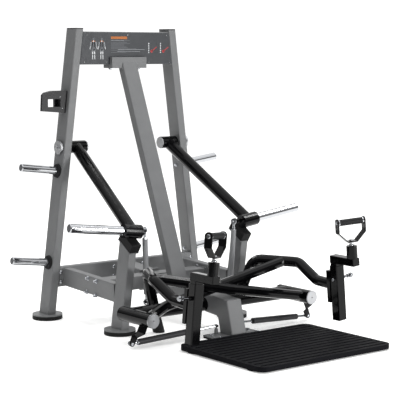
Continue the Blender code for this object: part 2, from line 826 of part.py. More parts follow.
def make_holder(paint):
    # Black bracket on the left upright's outer face: a windowed front wall with a rim behind it
    inner = {rise: -(upright_x(holder_z + rise) + upright_width / 2) - gap * 3 for rise in
             (-holder_inner_height / 2, holder_inner_height / 2)}
    outer_x = -(upright_x(holder_z) + upright_width / 2) - holder_width
    outline = holder_outline(inner, outer_x)
    shell = prism(outline, (0, 0, 0), (0, holder_depth, 0))
    holder = add_object("holder", shell, paint["plastic"], smooth=False)
    mount_x = -(upright_x(holder_z) + upright_width / 2) - holder_mount_width
    recess = prism(holder_recess(mount_x, outer_x), (0, 0, 0), (0, holder_depth, 0))
    window_x = outer_x + 0.042
    window = block((window_x, holder_front_y - 0.01, holder_z - 0.005 - holder_window_height / 2),
                   (window_x + holder_window_width, holder_front_y + holder_depth - holder_wall,
                    holder_z - 0.005 + holder_window_height / 2))
    # The rim gets deeper from the outer end to the mounting block
    back = holder_front_y + holder_depth
    high_z = holder_z + holder_inner_height
    slope = [Vector((outer_x - 0.01, holder_front_y + holder_outer_depth, high_z)),
             Vector((mount_x, back, high_z)), Vector((mount_x, back + 0.01, high_z)),
             Vector((outer_x - 0.01, back + 0.01, high_z))]
    wedge = prism(slope, (0, 0, 0), (0, 0, -2 * holder_inner_height))
    cut_away(holder, helper("holder_recess", recess), helper("holder_window", window),
             helper("holder_wedge", wedge))
    return holder


def holder_outline(inner, outer_x):
    # The inner edge follows the leaning upright and the outer end is lower
    (low_rise, low_x), (high_rise, high_x) = sorted(inner.items())
    half = holder_outer_height / 2
    y = holder_front_y
    middle_x = (low_x + outer_x) / 2
    return [(low_x, y, holder_z + low_rise), (high_x, y, holder_z + high_rise),
            (middle_x, y, holder_z + high_rise),
            (outer_x + 0.022, y, holder_z + half + 0.004), (outer_x + 0.006, y, holder_z + half - 0.008),
            (outer_x, y, holder_z - half)]


def holder_recess(mount_x, outer_x):
    # The hollow behind the front wall, between the rim and the mounting block
    half = holder_outer_height / 2 - holder_wall
    y = holder_front_y + holder_wall
    return [(mount_x, y, holder_z - half - 0.006), (mount_x, y, holder_z + half + 0.006),
            (outer_x + holder_wall + 0.002, y, holder_z + half), (outer_x + holder_wall, y, holder_z - half)]


# Weight arms

def hub_axis(side):
    # Direction outwards along the weight hub, which is tilted up and swept back a little
    return Vector((side, tan(weight_hub_sweep), tan(weight_hub_tilt))).normalized()


def hub_point(side, x):
    # The point of the hub's axis at a distance out
    reach = x - weight_arm_low_x
    return Vector((side * x, weight_hub_y + reach * tan(weight_hub_sweep),
                   weight_hub_z + reach * tan(weight_hub_tilt)))


def make_pivot(name, side, paint):
    # Fixed axle through the upright, with an outer flange and an inner end cap
    outer_x = upright_x(pivot_z) + upright_width / 2
    clear = tan(frame_lean) * pivot_flange_radius + gap * 2
    inner_x = pivot_tube_inner_x - gap
    stations = [(0, pivot_tube_radius - 0.002), (0.006, pivot_tube_radius - 0.002), (0.006, axle_radius),
                (outer_x + clear - inner_x + 0.006, axle_radius),
                (outer_x + clear - inner_x + 0.006, pivot_flange_radius),
                (outer_x + clear - inner_x + 0.006 + pivot_flange_thickness, pivot_flange_radius),
                (outer_x + clear - inner_x + 0.006 + pivot_flange_thickness, 0.011),
                (outer_x + clear - inner_x + 0.014 + pivot_flange_thickness, 0.011)]
    start = (side * (inner_x - 0.006), pivot_y, pivot_z)
    add_object("weight_pivot_" + name, solid_pin(stations, start, (side, 0, 0), 20), paint["zinc"])
    # The axle's bore through the upright
    bore = helper("pivot_bore_" + name, solid_pin(
        [(0, axle_radius + gap), (0.3, axle_radius + gap)],
        (side * (outer_x - 0.15), pivot_y, pivot_z), (side, 0, 0), 24))
    cut_away(bpy.data.objects["upright_" + name], bore)


def make_weight_arm(name, side, paint):
    pivot = Vector((0, pivot_y, pivot_z))
    outer_end = upright_x(pivot_z) - upright_width / 2 - tan(frame_lean) * pivot_tube_radius - 0.002
    length = outer_end - pivot_tube_inner_x
    sleeve = turned([(0, axle_radius + gap), (0, pivot_tube_radius), (length, pivot_tube_radius),
                     (length, axle_radius + gap)],
                    (side * pivot_tube_inner_x, pivot_y, pivot_z), (side, 0, 0), 20, closed=True)
    arm = add_object("weight_arm_" + name, sleeve, paint["black_paint"], pivot)
    hub_start = hub_point(side, weight_hub_inner_x)
    hub_length = (hub_point(side, weight_hub_outer_x) - hub_start).length
    bore = horn_radius - 0.006
    hub = turned([(0, 0), (0, weight_hub_radius), (hub_length, weight_hub_radius), (hub_length, bore + gap),
                  (0.020, bore + gap), (0.020, 0)], hub_start, hub_axis(side), 20)
    top = Vector((side * weight_arm_top_x, pivot_y, pivot_z))
    low = hub_point(side, weight_arm_low_x)
    run = (low - top).normalized()
    beam = swept([top + run * 0.06, low - run * 0.06], circle(weight_arm_radius - 0.001, 20),
                 circle(weight_arm_radius - 0.001 - tube_wall, 20), up=(1, 0, 0),
                 start_cut=round_cut(top, Vector((1, 0, 0)), pivot_tube_radius - embed, 1),
                 end_cut=round_cut(low, hub_axis(side), weight_hub_radius - embed, -1))
    vent = helper("weight_arm_vent_" + name, solid_pin(
        [(0, vent_radius), (vent_depth, vent_radius)],
        low - run * 0.10 - Vector((0, 0.0, weight_arm_radius + 0.006)), (0, 0, 1), 8), pivot)
    unite(arm, helper("weight_hub_" + name, hub, pivot), helper("weight_beam_" + name, beam, pivot),
          helper("rod_top_stud_" + name, ball_stud(
              rod_top(side) - Vector((rod_ball_x - weight_hub_inner_x - 0.012, 0, 0)) * side, (-side, 0, 0),
              weight_hub_inner_x + 0.012 - rod_ball_x, 0.022, rod_eye_bore - gap,
              rod_top_stud_radius), pivot))
    cut_away(arm, vent)
    # The chrome horn is turned down to a spigot that fits in the hub
    spigot = hub_length - 0.022
    reach = (hub_point(side, horn_tip_x) - hub_point(side, weight_hub_outer_x)).length
    horn = solid_pin([(-spigot, bore), (gap, bore), (gap, horn_radius), (reach - 0.004, horn_radius),
                      (reach, horn_radius - 0.004)], hub_point(side, weight_hub_outer_x), hub_axis(side), 20)
    add_object("weight_horn_" + name, horn, paint["chrome"], pivot)
    return arm


def rod_top(side):
    # Centre of the ball at the top of a lift rod
    axis_point = hub_point(side, rod_ball_x)
    return axis_point + Vector((0, rod_ball_back, rod_ball_up))


def rod_low(side):
    return Vector((side * rod_low_x, rod_low_y, rod_low_z))


def ball_stud(start, axis, reach, boss, ball, neck):
    # A stud with a boss at its root and a ball at its reach, held in a rod end
    return solid_pin([(0, 0.011), (boss, 0.011), (boss, neck), (reach - 0.006, neck),
                      (reach - 0.003, ball - 0.001), (reach, ball), (reach + 0.003, ball - 0.001),
                      (reach + 0.006, neck), (reach + 0.009, neck)], start, axis, 12)


def make_lift_rod(name, side, paint):
    # A tube with an eye at each end, round the balls of the weight arm and of the leg
    low = rod_low(side)
    high = rod_top(side)
    run = (high - low).normalized()
    length = (high - low).length
    reach = rod_eye_radius - embed
    shoulder = reach + 0.022
    rod = add_object("lift_rod_" + name, solid_pin(
        [(reach, lift_rod_neck), (shoulder, lift_rod_neck), (shoulder + 0.006, lift_rod_radius),
         (length - shoulder - 0.006, lift_rod_radius), (length - shoulder, lift_rod_neck),
         (length - reach, lift_rod_neck)],
        low, run, 12), paint["zinc"], high)
    half = rod_eye_width / 2
    ring = [(-half, rod_eye_bore), (-half, rod_eye_radius), (half, rod_eye_radius), (half, rod_eye_bore)]
    top_axis = (side * cos(rod_eye_turn), sin(rod_eye_turn), 0)
    top_eye = turned(ring, high, top_axis, 16, closed=True)
    low_ring = [(-half, rod_low_bore), (-half, rod_eye_radius), (half, rod_eye_radius), (half, rod_low_bore)]
    low_eye = turned(low_ring, low, leg_stud_axis(side), 16, closed=True)
    unite(rod, helper("rod_top_eye_" + name, top_eye, high), helper("rod_low_eye_" + name, low_eye, high))
    return rod


def leg_stud_axis(side):
    return (rod_low(side) - leg_point(side, rod_low_z)).normalized()


# Lever arms: the arm of the left handle turns on the right hub, and the other way round

def make_carrier(name, side, paint):
    # Fixed rear housing of a hub, on a tube from the centre beam
    y = hub_back_y
    depth = hub_back_y - hub_seam_y
    housing = turned([(0, 0), (0, hub_radius - 0.006), (0.006, hub_radius), (depth - gap, hub_radius),
                      (depth - gap, hub_axle_radius + gap), (0.015, hub_axle_radius + gap), (0.015, 0)],
                     (side * hub_x, y, hub_z), (0, -1, 0), hub_steps)
    carrier = add_object("hub_carrier_" + name, housing, paint["black_paint"])
    start = (side * (centre_beam_size / 2 + gap), carrier_tube_y, hub_z)
    end = (side * (hub_x - hub_radius), carrier_tube_y, hub_z)
    tube = swept([start, end], circle(carrier_tube_radius, 20), circle(carrier_tube_radius - 0.004, 20),
                 end_cut=round_cut(Vector((side * hub_x, 0, hub_z)), Vector((0, 1, 0)), hub_radius - embed, -1))
    unite(carrier, helper("carrier_tube_" + name, tube))
    # Fixed axle with a round end cap
    length = hub_back_y - 0.015 - gap - hub_front_y
    axle = solid_pin([(0, hub_axle_radius), (length, hub_axle_radius), (length, hub_radius),
                      (length + hub_cap_thickness - 0.001, hub_radius),
                      (length + hub_cap_thickness, hub_radius - 0.002)],
                     (side * hub_x, hub_back_y - 0.015 - gap, hub_z), (0, -1, 0), hub_steps)
    add_object("hub_axle_" + name, axle, paint["zinc"])


def leaning_plate(side, low_y, high_y):
    # A plate square to Y, wide as the arm plate, whose long edges lean with the handle post
    middle = post_centre(side, (arm_plate_bottom + arm_plate_top) / 2)
    middle.y = low_y
    half_height = (arm_plate_top - arm_plate_bottom) / 2 * post_axis(side)
    half_width = arm_plate_width / 2 * pull_pin_axis(side)
    outline = [middle - half_height - half_width, middle - half_height + half_width,
               middle + half_height + half_width, middle + half_height - half_width]
    return prism(outline, (0, 0, 0), (0, high_y - low_y, 0))


def leg_point(side, z):
    return Vector((side * (leg_foot_x + leg_out * z), leg_foot_back_y - leg_forward * z, z))


def arch_corners(side):
    return [leg_point(side, leg_end_z),
            (side * arch_rear_x, leg_foot_back_y - leg_forward * arch_height, arch_height),
            (side * arch_front_x, arch_front_y, arch_height - 0.001),
            (side * shoulder_x, shoulder_y, shoulder_z),
            (side * shoulder_x, arm_end_y, arm_end_z)]


def make_lever_arm(name, side, paint):
    # side is the handle's side, so the hub is on the other one
    hub = Vector((-side * hub_x, 0, hub_z))
    pivot = Vector((-side * hub_x, hub_seam_y, hub_z))
    length = hub_seam_y - hub_front_y
    sleeve = turned([(gap, hub_axle_radius + gap), (gap, hub_radius), (length - gap, hub_radius),
                     (length - gap, hub_axle_radius + gap)], pivot, (0, -1, 0), hub_steps, closed=True)
    arm = add_object("lever_arm_" + name, sleeve, paint["black_paint"], pivot)
    # Brace from the hub to the arch: the right handle's one bends behind the left handle's one
    start = Vector((-side * hub_x, brace_hub_y[name], hub_z))
    bend_x, bend_y, bend_z = brace_bend[name]
    bend = Vector((bend_x, bend_y, bend_z))
    end = Vector((side * brace_arch_x, brace_arch_y[name], arch_height - 0.001))
    first = (bend - start).normalized()
    last = (end - bend).normalized()
    corners = [Vector(point) for point in arch_corners(side)]
    top_run = (corners[2] - corners[1]).normalized()
    brace_path = bent_path([start + first * 0.06, bend, end - last * 0.05], brace_bend_radius)
    brace = swept(brace_path, circle(brace_radius, 12), circle(brace_radius - tube_wall, 12),
                  start_cut=round_cut(hub, Vector((0, 1, 0)), hub_radius - embed, 1),
                  end_cut=round_cut(corners[1], top_run, arm_tube_radius - embed, -1))
    end_plane = plane_cut(Vector((0, arm_end_y, 0)), Vector((0, 1, 0)))
    arch = swept(bent_path(corners, bend_radius), circle(arm_tube_radius), circle(arm_tube_radius - tube_wall),
                 up=(0, 1, 0), end_cut=end_plane)
    plate = leaning_plate(side, arm_end_y - arm_plate_thickness, arm_end_y + embed)
    # Crank below the hub, with the damper's pin
    pin = Vector((-side * (hub_x + crank_reach_x), crank_y + crank_set_back, crank_pin_z))
    crank = crank_shape(Vector((-side * (hub_x + crank_root_out), crank_y, hub_z - crank_root_drop)), pin)
    stud_root = leg_point(side, rod_low_z)
    stud = ball_stud(stud_root, leg_stud_axis(side), (rod_low(side) - stud_root).length, 0.060,
                     rod_low_ball, rod_stud_radius)
    parts = [helper("arm_brace_" + name, brace, pivot), helper("arm_arch_" + name, arch, pivot),
             helper("arm_plate_" + name, plate, pivot), helper("arm_crank_" + name, crank, pivot),
             helper("crank_pin_" + name, damper_pin(pin), pivot)]
    unite(arm, *parts)
    unite(arm, helper("rod_low_stud_" + name, stud, pivot))
    vent_point = bend + last * 0.16 - Vector((0, 0, brace_radius + 0.006))
    vent = helper("brace_vent_" + name,
                  solid_pin([(0, vent_radius), (vent_depth, vent_radius)], vent_point, (0, 0, 1), 8), pivot)
    cut_away(arm, vent)
    # Rubber cone on the end of the leg: the arm rests on it
    top = leg_point(side, leg_end_z - gap)
    tilt = (leg_point(side, leg_end_z) - leg_point(side, 0)).normalized()
    cone = cone_foot(top, tilt, side)
    add_object("arm_foot_" + name, cone, paint["rubber"], pivot)
    return arm


def crank_shape(root, pin):
    # Flat bar with two bends that set its lower end back, and round about the pin
    down = Vector((pin.x - root.x, 0, pin.z - root.z))
    length = down.length
    down.normalize()
    across = Vector((down.z, 0, -down.x))
    stations = [(0, crank_half_width, root.y), (crank_bend_start, crank_half_width, root.y),
                (crank_bend_end, crank_tip_radius + 0.003, pin.y)]
    count = 5
    for i in range(count + 1):
        angle = pi / 2 * i / count * 0.96
        stations.append((length + crank_tip_radius * sin(angle), crank_tip_radius * cos(angle), pin.y))
    half = Vector((0, crank_thickness / 2, 0))
    rows = []
    for along, width, y in stations:
        centre = Vector((root.x, y, root.z)) + down * along
        rows.append([centre - across * width - half, centre + across * width - half,
                     centre + across * width + half, centre - across * width + half])
    return skin([rows])


def cone_foot(top, tilt, side):
    # The top face is square to the leg and the bottom face is level on the floor
    helper_axis = Vector((0, 1, 0))
    across = helper_axis.cross(tilt).normalized()
    upward = tilt.cross(across)
    count = 24
    floor = leg_point(side, 0)
    rows = []
    flat = [(Vector((cos(a), sin(a), 0))) for a in (2 * pi * i / count for i in range(count))]
    rows.append([Vector((floor.x, floor.y, 0)) + spoke * 0.031 for spoke in flat])
    rows.append([Vector((floor.x, floor.y, 0.004)) + leg_shift(side, 0.004) + spoke * 0.033 for spoke in flat])
    neck = arm_tube_radius - 0.001
    for radius, drop in ((neck, 0.004), (neck, 0.0)):
        ring = []
        for spoke in flat:
            offset = across * spoke.x + upward * spoke.y
            ring.append(top - tilt * drop + offset * radius)
        rows.append(ring)
    return skin([align_rows(rows)])


def leg_shift(side, z):
    return Vector((side * leg_out * z, -leg_forward * z, 0))


def align_rows(rows):
    # Turns each ring so that its first point lies nearest to the first point of the ring below
    result = [rows[0]]
    for row in rows[1:]:
        below = result[-1][0]
        start = min(range(len(row)), key=lambda i: (row[i] - below).length)
        result.append(row[start:] + row[:start])
    return result


# Dampers

def damper_frame(side):
    # side is the side of the hub that the damper works on
    lug = Vector((side * damper_lug_x, damper_axis_y, damper_lug_z))
    pin = Vector((side * (hub_x + crank_reach_x), damper_axis_y + crank_set_back, crank_pin_z))
    return lug, pin, (pin - lug).normalized()


def eye_ring(centre, axis, half):
    ring = [(-half, damper_eye_bore), (-half, damper_eye_radius),
            (half, damper_eye_radius), (half, damper_eye_bore)]
    return turned(ring, centre, axis, 16, closed=True)


def make_damper(name, side, paint):
    # The left damper has its body at the crank and the right one has its rod there
    lug, pin, run = damper_frame(side)
    lug_end = (lug, (0, 0, 1), 0.005)
    pin_end = (pin, (0, 1, 0), damper_eye_width / 2)
    rod_end, body_end = (lug_end, pin_end) if side < 0 else (pin_end, lug_end)
    origin = rod_end[0]
    run = run if side < 0 else -run
    length = (pin - lug).length
    neck = damper_eye_radius - embed
    # Rod with a piston inside the body
    body_start = length - neck - damper_neck[side] - damper_body_length
    piston_at = body_start + damper_piston_depth
    rod = add_object("damper_rod_" + name, solid_pin(
        [(neck, damper_rod_radius), (piston_at, damper_rod_radius), (piston_at, damper_radius - 0.0035),
         (piston_at + 0.014, damper_radius - 0.0035)], origin, run, 16), paint["chrome"], origin)
    unite(rod, helper("damper_rod_eye_" + name, eye_ring(*rod_end), origin))
    bore = damper_radius - 0.0030
    end = body_start + damper_body_length
    body = turned([(body_start, damper_rod_radius + gap), (body_start, damper_radius - 0.001),
                   (body_start + 0.001, damper_radius), (end - 0.002, damper_radius),
                   (end, damper_radius - 0.002), (end, 0.006), (length - neck, 0.006), (length - neck, 0),
                   (end - 0.010, 0), (end - 0.010, bore),
                   (body_start + 0.012, bore), (body_start + 0.012, damper_rod_radius + gap)],
                  origin, run, 20, closed=True)
    body_object = add_object("damper_body_" + name, body, paint["plastic"], body_end[0])
    unite(body_object, helper("damper_body_eye_" + name, eye_ring(*body_end), body_end[0]))


# Handles

def post_axis(side):
    return Vector((-side * sin(post_lean), 0, cos(post_lean)))


def post_centre(side, z):
    x = handle_post_x + (handle_post_top_z - z) * tan(post_lean)
    y = arm_end_y - arm_plate_thickness - gap - 0.010 - handle_post_depth / 2 + embed
    return Vector((side * x, y, z))


def make_handle_post(name, side, paint):
    # Square tube with the bolted plate behind it and the pull pin's barrel on its outer face
    low = post_centre(side, handle_post_bottom_z)
    high = post_centre(side, handle_post_top_z)
    outer, inner = rectangle_pair(handle_post_width, handle_post_depth, tube_wall)
    post = add_object("handle_post_" + name, swept([low, high], outer, inner, up=(0, 1, 0)),
                      paint["black_paint"], pivot_of_arm(side))
    back = arm_end_y - arm_plate_thickness - gap
    plate = leaning_plate(side, back - 0.010, back)
    pin_seat = pull_pin_seat(side)
    outward = pull_pin_axis(side)
    barrel = turned([(-embed, pull_pin_radius + gap), (-embed, 0.011), (0.016, 0.011),
                     (0.016, pull_pin_radius + gap)],
                    pin_seat, outward, 20, closed=True)
    unite(post, helper("post_plate_bolted_" + name, plate, pivot_of_arm(side)),
          helper("pin_barrel_" + name, barrel, pivot_of_arm(side)))
    hole = solid_pin([(-0.006, pull_pin_radius + gap), (0.03, pull_pin_radius + gap)], pin_seat, outward, 20)
    cut_away(post, helper("pin_hole_" + name, hole, pivot_of_arm(side)))


def pivot_of_arm(side):
    return Vector((-side * hub_x, hub_seam_y, hub_z))


def pull_pin_axis(side):
    return Vector((side * cos(post_lean), 0, sin(post_lean)))


def pull_pin_seat(side):
    # On the post's outer face
    return post_centre(side, pull_pin_z) + pull_pin_axis(side) * (handle_post_width / 2)


def make_pull_pin(name, side, paint):
    seat = pull_pin_seat(side)
    stations = [(-tube_wall - handle_slider_clear - 0.002, pull_pin_radius - 0.001),
                (-tube_wall, pull_pin_radius),
                (0.018, pull_pin_radius), (0.018, 0.0075), (0.042, 0.0075), (0.042, 0.0105), (0.050, 0.0105),
                (0.050, 0.005), (0.056, 0.005), (0.058, 0.010), (0.064, pull_knob_radius - 0.001),
                (0.070, pull_knob_radius),
                (0.076, pull_knob_radius - 0.002), (0.081, 0.008)]
    add_object("pull_pin_" + name, solid_pin(stations, seat, pull_pin_axis(side), 12), paint["chrome"], seat)


def lean_point(side, out, y, rise):
    # A point given along the post's lean: out from its axis, its Y and its rise above the post's top
    base = post_centre(side, handle_post_top_z)
    point = base + pull_pin_axis(side) * out + post_axis(side) * rise
    return Vector((point.x, y, point.z))


def lean_block(side, half_width, low_y, high_y, low_rise, high_rise):
    outline = [lean_point(side, -half_width, low_y, low_rise), lean_point(side, half_width, low_y, low_rise),
               lean_point(side, half_width, low_y, high_rise), lean_point(side, -half_width, low_y, high_rise)]
    return prism(outline, (0, 0, 0), (0, high_y - low_y, 0))


def make_slider(name, side, paint):
    # Tube inside the post, the offset bar on top of it and the round post at the bar's front
    side_clear = tube_wall + handle_slider_clear
    width = handle_post_width - 2 * side_clear
    depth = handle_post_depth - 2 * side_clear
    outer, inner = rectangle_pair(width, depth, slider_wall, 0.004)
    pivot = post_centre(side, handle_post_top_z)
    low = pivot - post_axis(side) * slider_insert
    high = pivot + post_axis(side) * (offset_bottom + 0.75 * slider_wall)
    slider = add_object("handle_slider_" + name, swept([low, high], outer, inner, up=(0, 1, 0)),
                        paint["black_paint"], pivot)
    bar_back = pivot.y + depth / 2 + 0.004
    bar = helper("offset_bar_" + name, lean_block(side, offset_width / 2, offset_front_y, bar_back,
                                                  offset_bottom, offset_top), pivot)
    soften(bar, 0.003)
    hollow = helper("offset_hollow_" + name, lean_block(
        side, offset_width / 2 - slider_wall, offset_front_y + slider_wall, bar_back + 0.01,
        offset_bottom + slider_wall, offset_top - slider_wall), pivot)
    cut_away(bar, hollow)
    bore = rod_stud_radius + gap
    length = round_post_top - offset_top + embed
    post = turned([(0, bore), (0, round_post_radius), (length - 0.003, round_post_radius),
                   (length, round_post_radius - 0.003), (length, bore)],
                  lean_point(side, 0, round_post_y, offset_top - embed), post_axis(side), 20, closed=True)
    unite(slider, bar, helper("round_post_" + name, post, pivot))
    # The long slot that the pull pin reaches into
    slot_seat = pull_pin_seat(side)
    slot_low = slot_seat - post_axis(side) * 0.108 - pull_pin_axis(side) * (handle_post_width / 2)
    slot_high = slot_seat + post_axis(side) * 0.008
    slot = slot_shape(slot_low, slot_high, side)
    cut_away(slider, helper("slider_slot_" + name, slot, pivot))


def slot_shape(low, high, side):
    # A leaning block through the slider's outer wall only
    along = post_axis(side)
    outward = pull_pin_axis(side)
    height = (high - low).dot(along)
    centre_line = low
    start = handle_post_width / 2 - tube_wall - handle_slider_clear - slider_wall - 0.002
    end = handle_post_width / 2 + 0.004
    half = pull_pin_radius + 0.0015
    verts = []
    for rise in (0, height):
        for out, y in ((start, -half), (end, -half), (end, half), (start, half)):
            verts.append(tuple(centre_line + along * rise + outward * out + Vector((0, y, 0))))
    faces = [[3, 2, 1, 0], [4, 5, 6, 7], [0, 1, 5, 4], [1, 2, 6, 5], [2, 3, 7, 6], [3, 0, 4, 7]]
    return verts, faces


def grip_axis(name, side):
    # From the post's inner side to its outer side, turned about the round post
    outward = pull_pin_axis(side)
    return outward * cos(handle_turn[name]) + Vector((0, -1, 0)) * sin(handle_turn[name])


def make_swivel_handle(name, side, paint):
    # Bent flat strap on a swivel stud, with a roller grip between its ends
    base = lean_point(side, 0, round_post_y, round_post_top)
    upward = post_axis(side)
    along = grip_axis(name, side)
    half = strap_thickness / 2
    end = strap_width / 2
    lift = grip_height
    shape = [(-strap_half_span, lift), (-strap_half_span, strap_bend), (-strap_foot_half, strap_bottom + half),
             (strap_foot_half, strap_bottom + half), (strap_half_span, strap_bend), (strap_half_span, lift)]
    path = [base + along * u + upward * rise for u, rise in shape]
    outline = [(-end, -half), (end, -half), (end, half), (-end, half)]
    strap = add_object("handle_strap_" + name, swept(path, outline, up=along), paint["black_paint"], base,
                       smooth=False)
    centre = base + upward * lift
    for place, distance in (("inner", -strap_half_span), ("outer", strap_half_span)):
        boss = solid_pin([(-half - 0.0005, end + 0.0004), (half + 0.0005, end + 0.0004)],
                         centre + along * distance, along, 20)
        unite(strap, helper("strap_end_%s_%s" % (place, name), boss, base))
    top = strap_bottom + strap_thickness
    stud = solid_pin([(-0.042, rod_stud_radius), (strap_bottom - 0.014, rod_stud_radius),
                      (strap_bottom - 0.014, 0.0085),
                      (strap_bottom + embed, 0.0085), (strap_bottom + embed, 0.005), (top - embed, 0.005),
                      (top - embed, 0.011), (top + 0.007, 0.011)], base, upward, 12)
    reach = strap_half_span + half + 0.005
    near = strap_half_span + half - embed
    head = strap_bolt_radius
    rod = solid_pin([(-reach, head - strap_bolt_edge), (strap_bolt_edge - reach, head), (-near, head),
                     (-near, grip_rod_radius), (near, grip_rod_radius), (near, head),
                     (reach - strap_bolt_edge, head), (reach, head - strap_bolt_edge)], centre, along, 12)
    unite(strap, helper("swivel_stud_" + name, stud, base), helper("grip_rod_" + name, rod, base))
    length = strap_half_span - half - 0.001
    bore = grip_rod_radius + gap
    ring = grip_radius - 0.0035
    grip = turned([(-length, bore), (-length, ring), (-length + 0.006, ring), (-length + 0.006, grip_radius),
                   (length - 0.006, grip_radius), (length - 0.006, ring), (length, ring), (length, bore)],
                  centre, along, 20, closed=True)
    add_object("handle_grip_" + name, grip, paint["rubber"], centre)


# Platform

def make_platform(paint):
    # Ribbed plate on four round feet
    depth = platform_back_y - platform_front_y
    centre_y = (platform_back_y + platform_front_y) / 2
    outline = rounded_rectangle(2 * platform_half_width, depth, platform_corner, 5)
    low = platform_top - platform_thickness
    plate = swept([(0, centre_y, low), (0, centre_y, platform_top)], outline, up=(0, 1, 0))
    platform = add_object("platform", plate, paint["rubber"])
    pitch = (depth - 2 * groove_margin) / (groove_count - 1)
    grooves = []
    for i in range(groove_count):
        y = platform_front_y + groove_margin + i * pitch
        grooves.append(helper("platform_groove_%02d" % (i + 1), block(
            (-platform_half_width + 0.022, y - groove_width / 2, platform_top - groove_depth),
            (platform_half_width - 0.022, y + groove_width / 2, platform_top + 0.01))))
    feet = []
    for name, side in sides.items():
        for place, y in (("front", platform_front_y + 0.095), ("back", platform_back_y - 0.095)):
            centre_x = side * (platform_half_width - platform_foot_radius - 0.002)
            feet.append(helper("platform_foot_%s_%s" % (place, name), solid_pin(
                [(0, platform_foot_radius - 0.002), (low + embed, platform_foot_radius)],
                (centre_x, y, 0), (0, 0, 1), 20)))
    unite(platform, *feet)
    cut_away(platform, *grooves)


def build():
    paint = make_materials()
    for name, side in sides.items():
        make_upright(name, side, paint)
        make_front_post(name, side, paint)
    make_base(paint)
    make_header(paint)
    make_mast(paint)
    make_storage(paint)
    make_holder(paint)
    for name, side in sides.items():
        make_pivot(name, side, paint)
        make_weight_arm(name, side, paint)
        make_lift_rod(name, side, paint)
        make_carrier(name, side, paint)
        make_lever_arm(name, side, paint)
        make_damper(name, side, paint)
        make_handle_post(name, side, paint)
        make_pull_pin(name, side, paint)
        make_slider(name, side, paint)
        make_swivel_handle(name, side, paint)
    make_platform(paint)


clear_scene()
machine = bpy.data.objects.new("machine", None)
bpy.context.collection.objects.link(machine)
machine.location = (0, machine_centre_y, 0)
build()
bpy.context.view_layer.update()
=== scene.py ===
# Standing shrug machine: finishes, fasteners, panel print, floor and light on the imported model.
from math import pi, radians

import bpy
import numpy as np
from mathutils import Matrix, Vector
from mathutils.bvhtree import BVHTree


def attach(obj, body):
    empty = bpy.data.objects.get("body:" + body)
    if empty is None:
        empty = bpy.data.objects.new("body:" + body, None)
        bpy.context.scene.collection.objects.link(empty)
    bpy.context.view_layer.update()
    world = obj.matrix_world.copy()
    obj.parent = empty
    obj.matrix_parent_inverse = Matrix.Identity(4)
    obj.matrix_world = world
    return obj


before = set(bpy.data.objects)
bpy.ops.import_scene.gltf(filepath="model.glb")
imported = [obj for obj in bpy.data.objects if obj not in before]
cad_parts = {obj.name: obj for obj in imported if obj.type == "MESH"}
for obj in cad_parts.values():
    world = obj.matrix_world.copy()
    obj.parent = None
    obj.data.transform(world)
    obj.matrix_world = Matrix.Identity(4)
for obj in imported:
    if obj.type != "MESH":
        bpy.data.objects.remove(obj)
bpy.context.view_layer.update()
print("frame loaded:", len(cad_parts), "nodes")


# Camera and light

cameraSetup = {
    "place": (-4.510, -5.6545, 1.518),
    "turn": (pi / 2 - 0.1192, -0.0028, -0.6716),
    "sensorMm": 36.0,
    "lensMm": 122.77,
    "shift": (-0.0268, 0.0271),
}

studio = {
    # Brightness by direction: a white backdrop ahead of the camera, dim walls, and a lit ceiling
    "backdropFacing": (0.617, 0.787, 0.0), "backdropFrom": 0.72, "backdropFull": 0.86, "backdrop": 1.12,
    "lightHex": "#ffffff",
    "wall": 0.22, "ceiling": 1.45, "ceilingFrom": 0.34, "ceilingFull": 0.70,
    "floorHex": "#f6f6f5", "floorPaleHex": "#f8f8f7", "floorRoughness": 0.8, "floorGlow": 0.3,
    "floorSize": 16.0, "floorDrop": 0.0005, "fibreMm": 400.0,
    # name: place, aim, width and height in metres, power in watts
    "softboxes": {
        "frontSoftbox": ((2.2, -5.6, 0.9), (0.0, 0.2, 0.4), 1.6, 1.0, 205.0),
        "stripAcross": ((1.6, -0.5, 3.8), (1.6, -0.2, 0.0), 4.6, 0.09, 42.0),
        "stripAlong": ((-0.4, 2.2, 3.6), (-0.4, 2.5, 0.0), 0.14, 4.0, 45.0),
    },
}


def linearColour(hexCode):
    # sRGB hex to linear: v / 12.92 under 0.04045, else ((v + 0.055) / 1.055) to the power 2.4
    values = np.array([int(hexCode[i:i + 2], 16) for i in (1, 3, 5)]) / 255
    linear = np.where(values < 0.04045, values / 12.92, ((values + 0.055) / 1.055) ** 2.4)
    return (*linear.tolist(), 1.0)


def makeCamera():
    data = bpy.data.cameras.new("photoCamera")
    data.sensor_width = cameraSetup["sensorMm"]
    data.lens = cameraSetup["lensMm"]
    data.shift_x, data.shift_y = cameraSetup["shift"]
    camera = bpy.data.objects.new("photoCamera", data)
    camera.location = cameraSetup["place"]
    camera.rotation_euler = cameraSetup["turn"]
    bpy.context.collection.objects.link(camera)
    bpy.context.scene.camera = camera


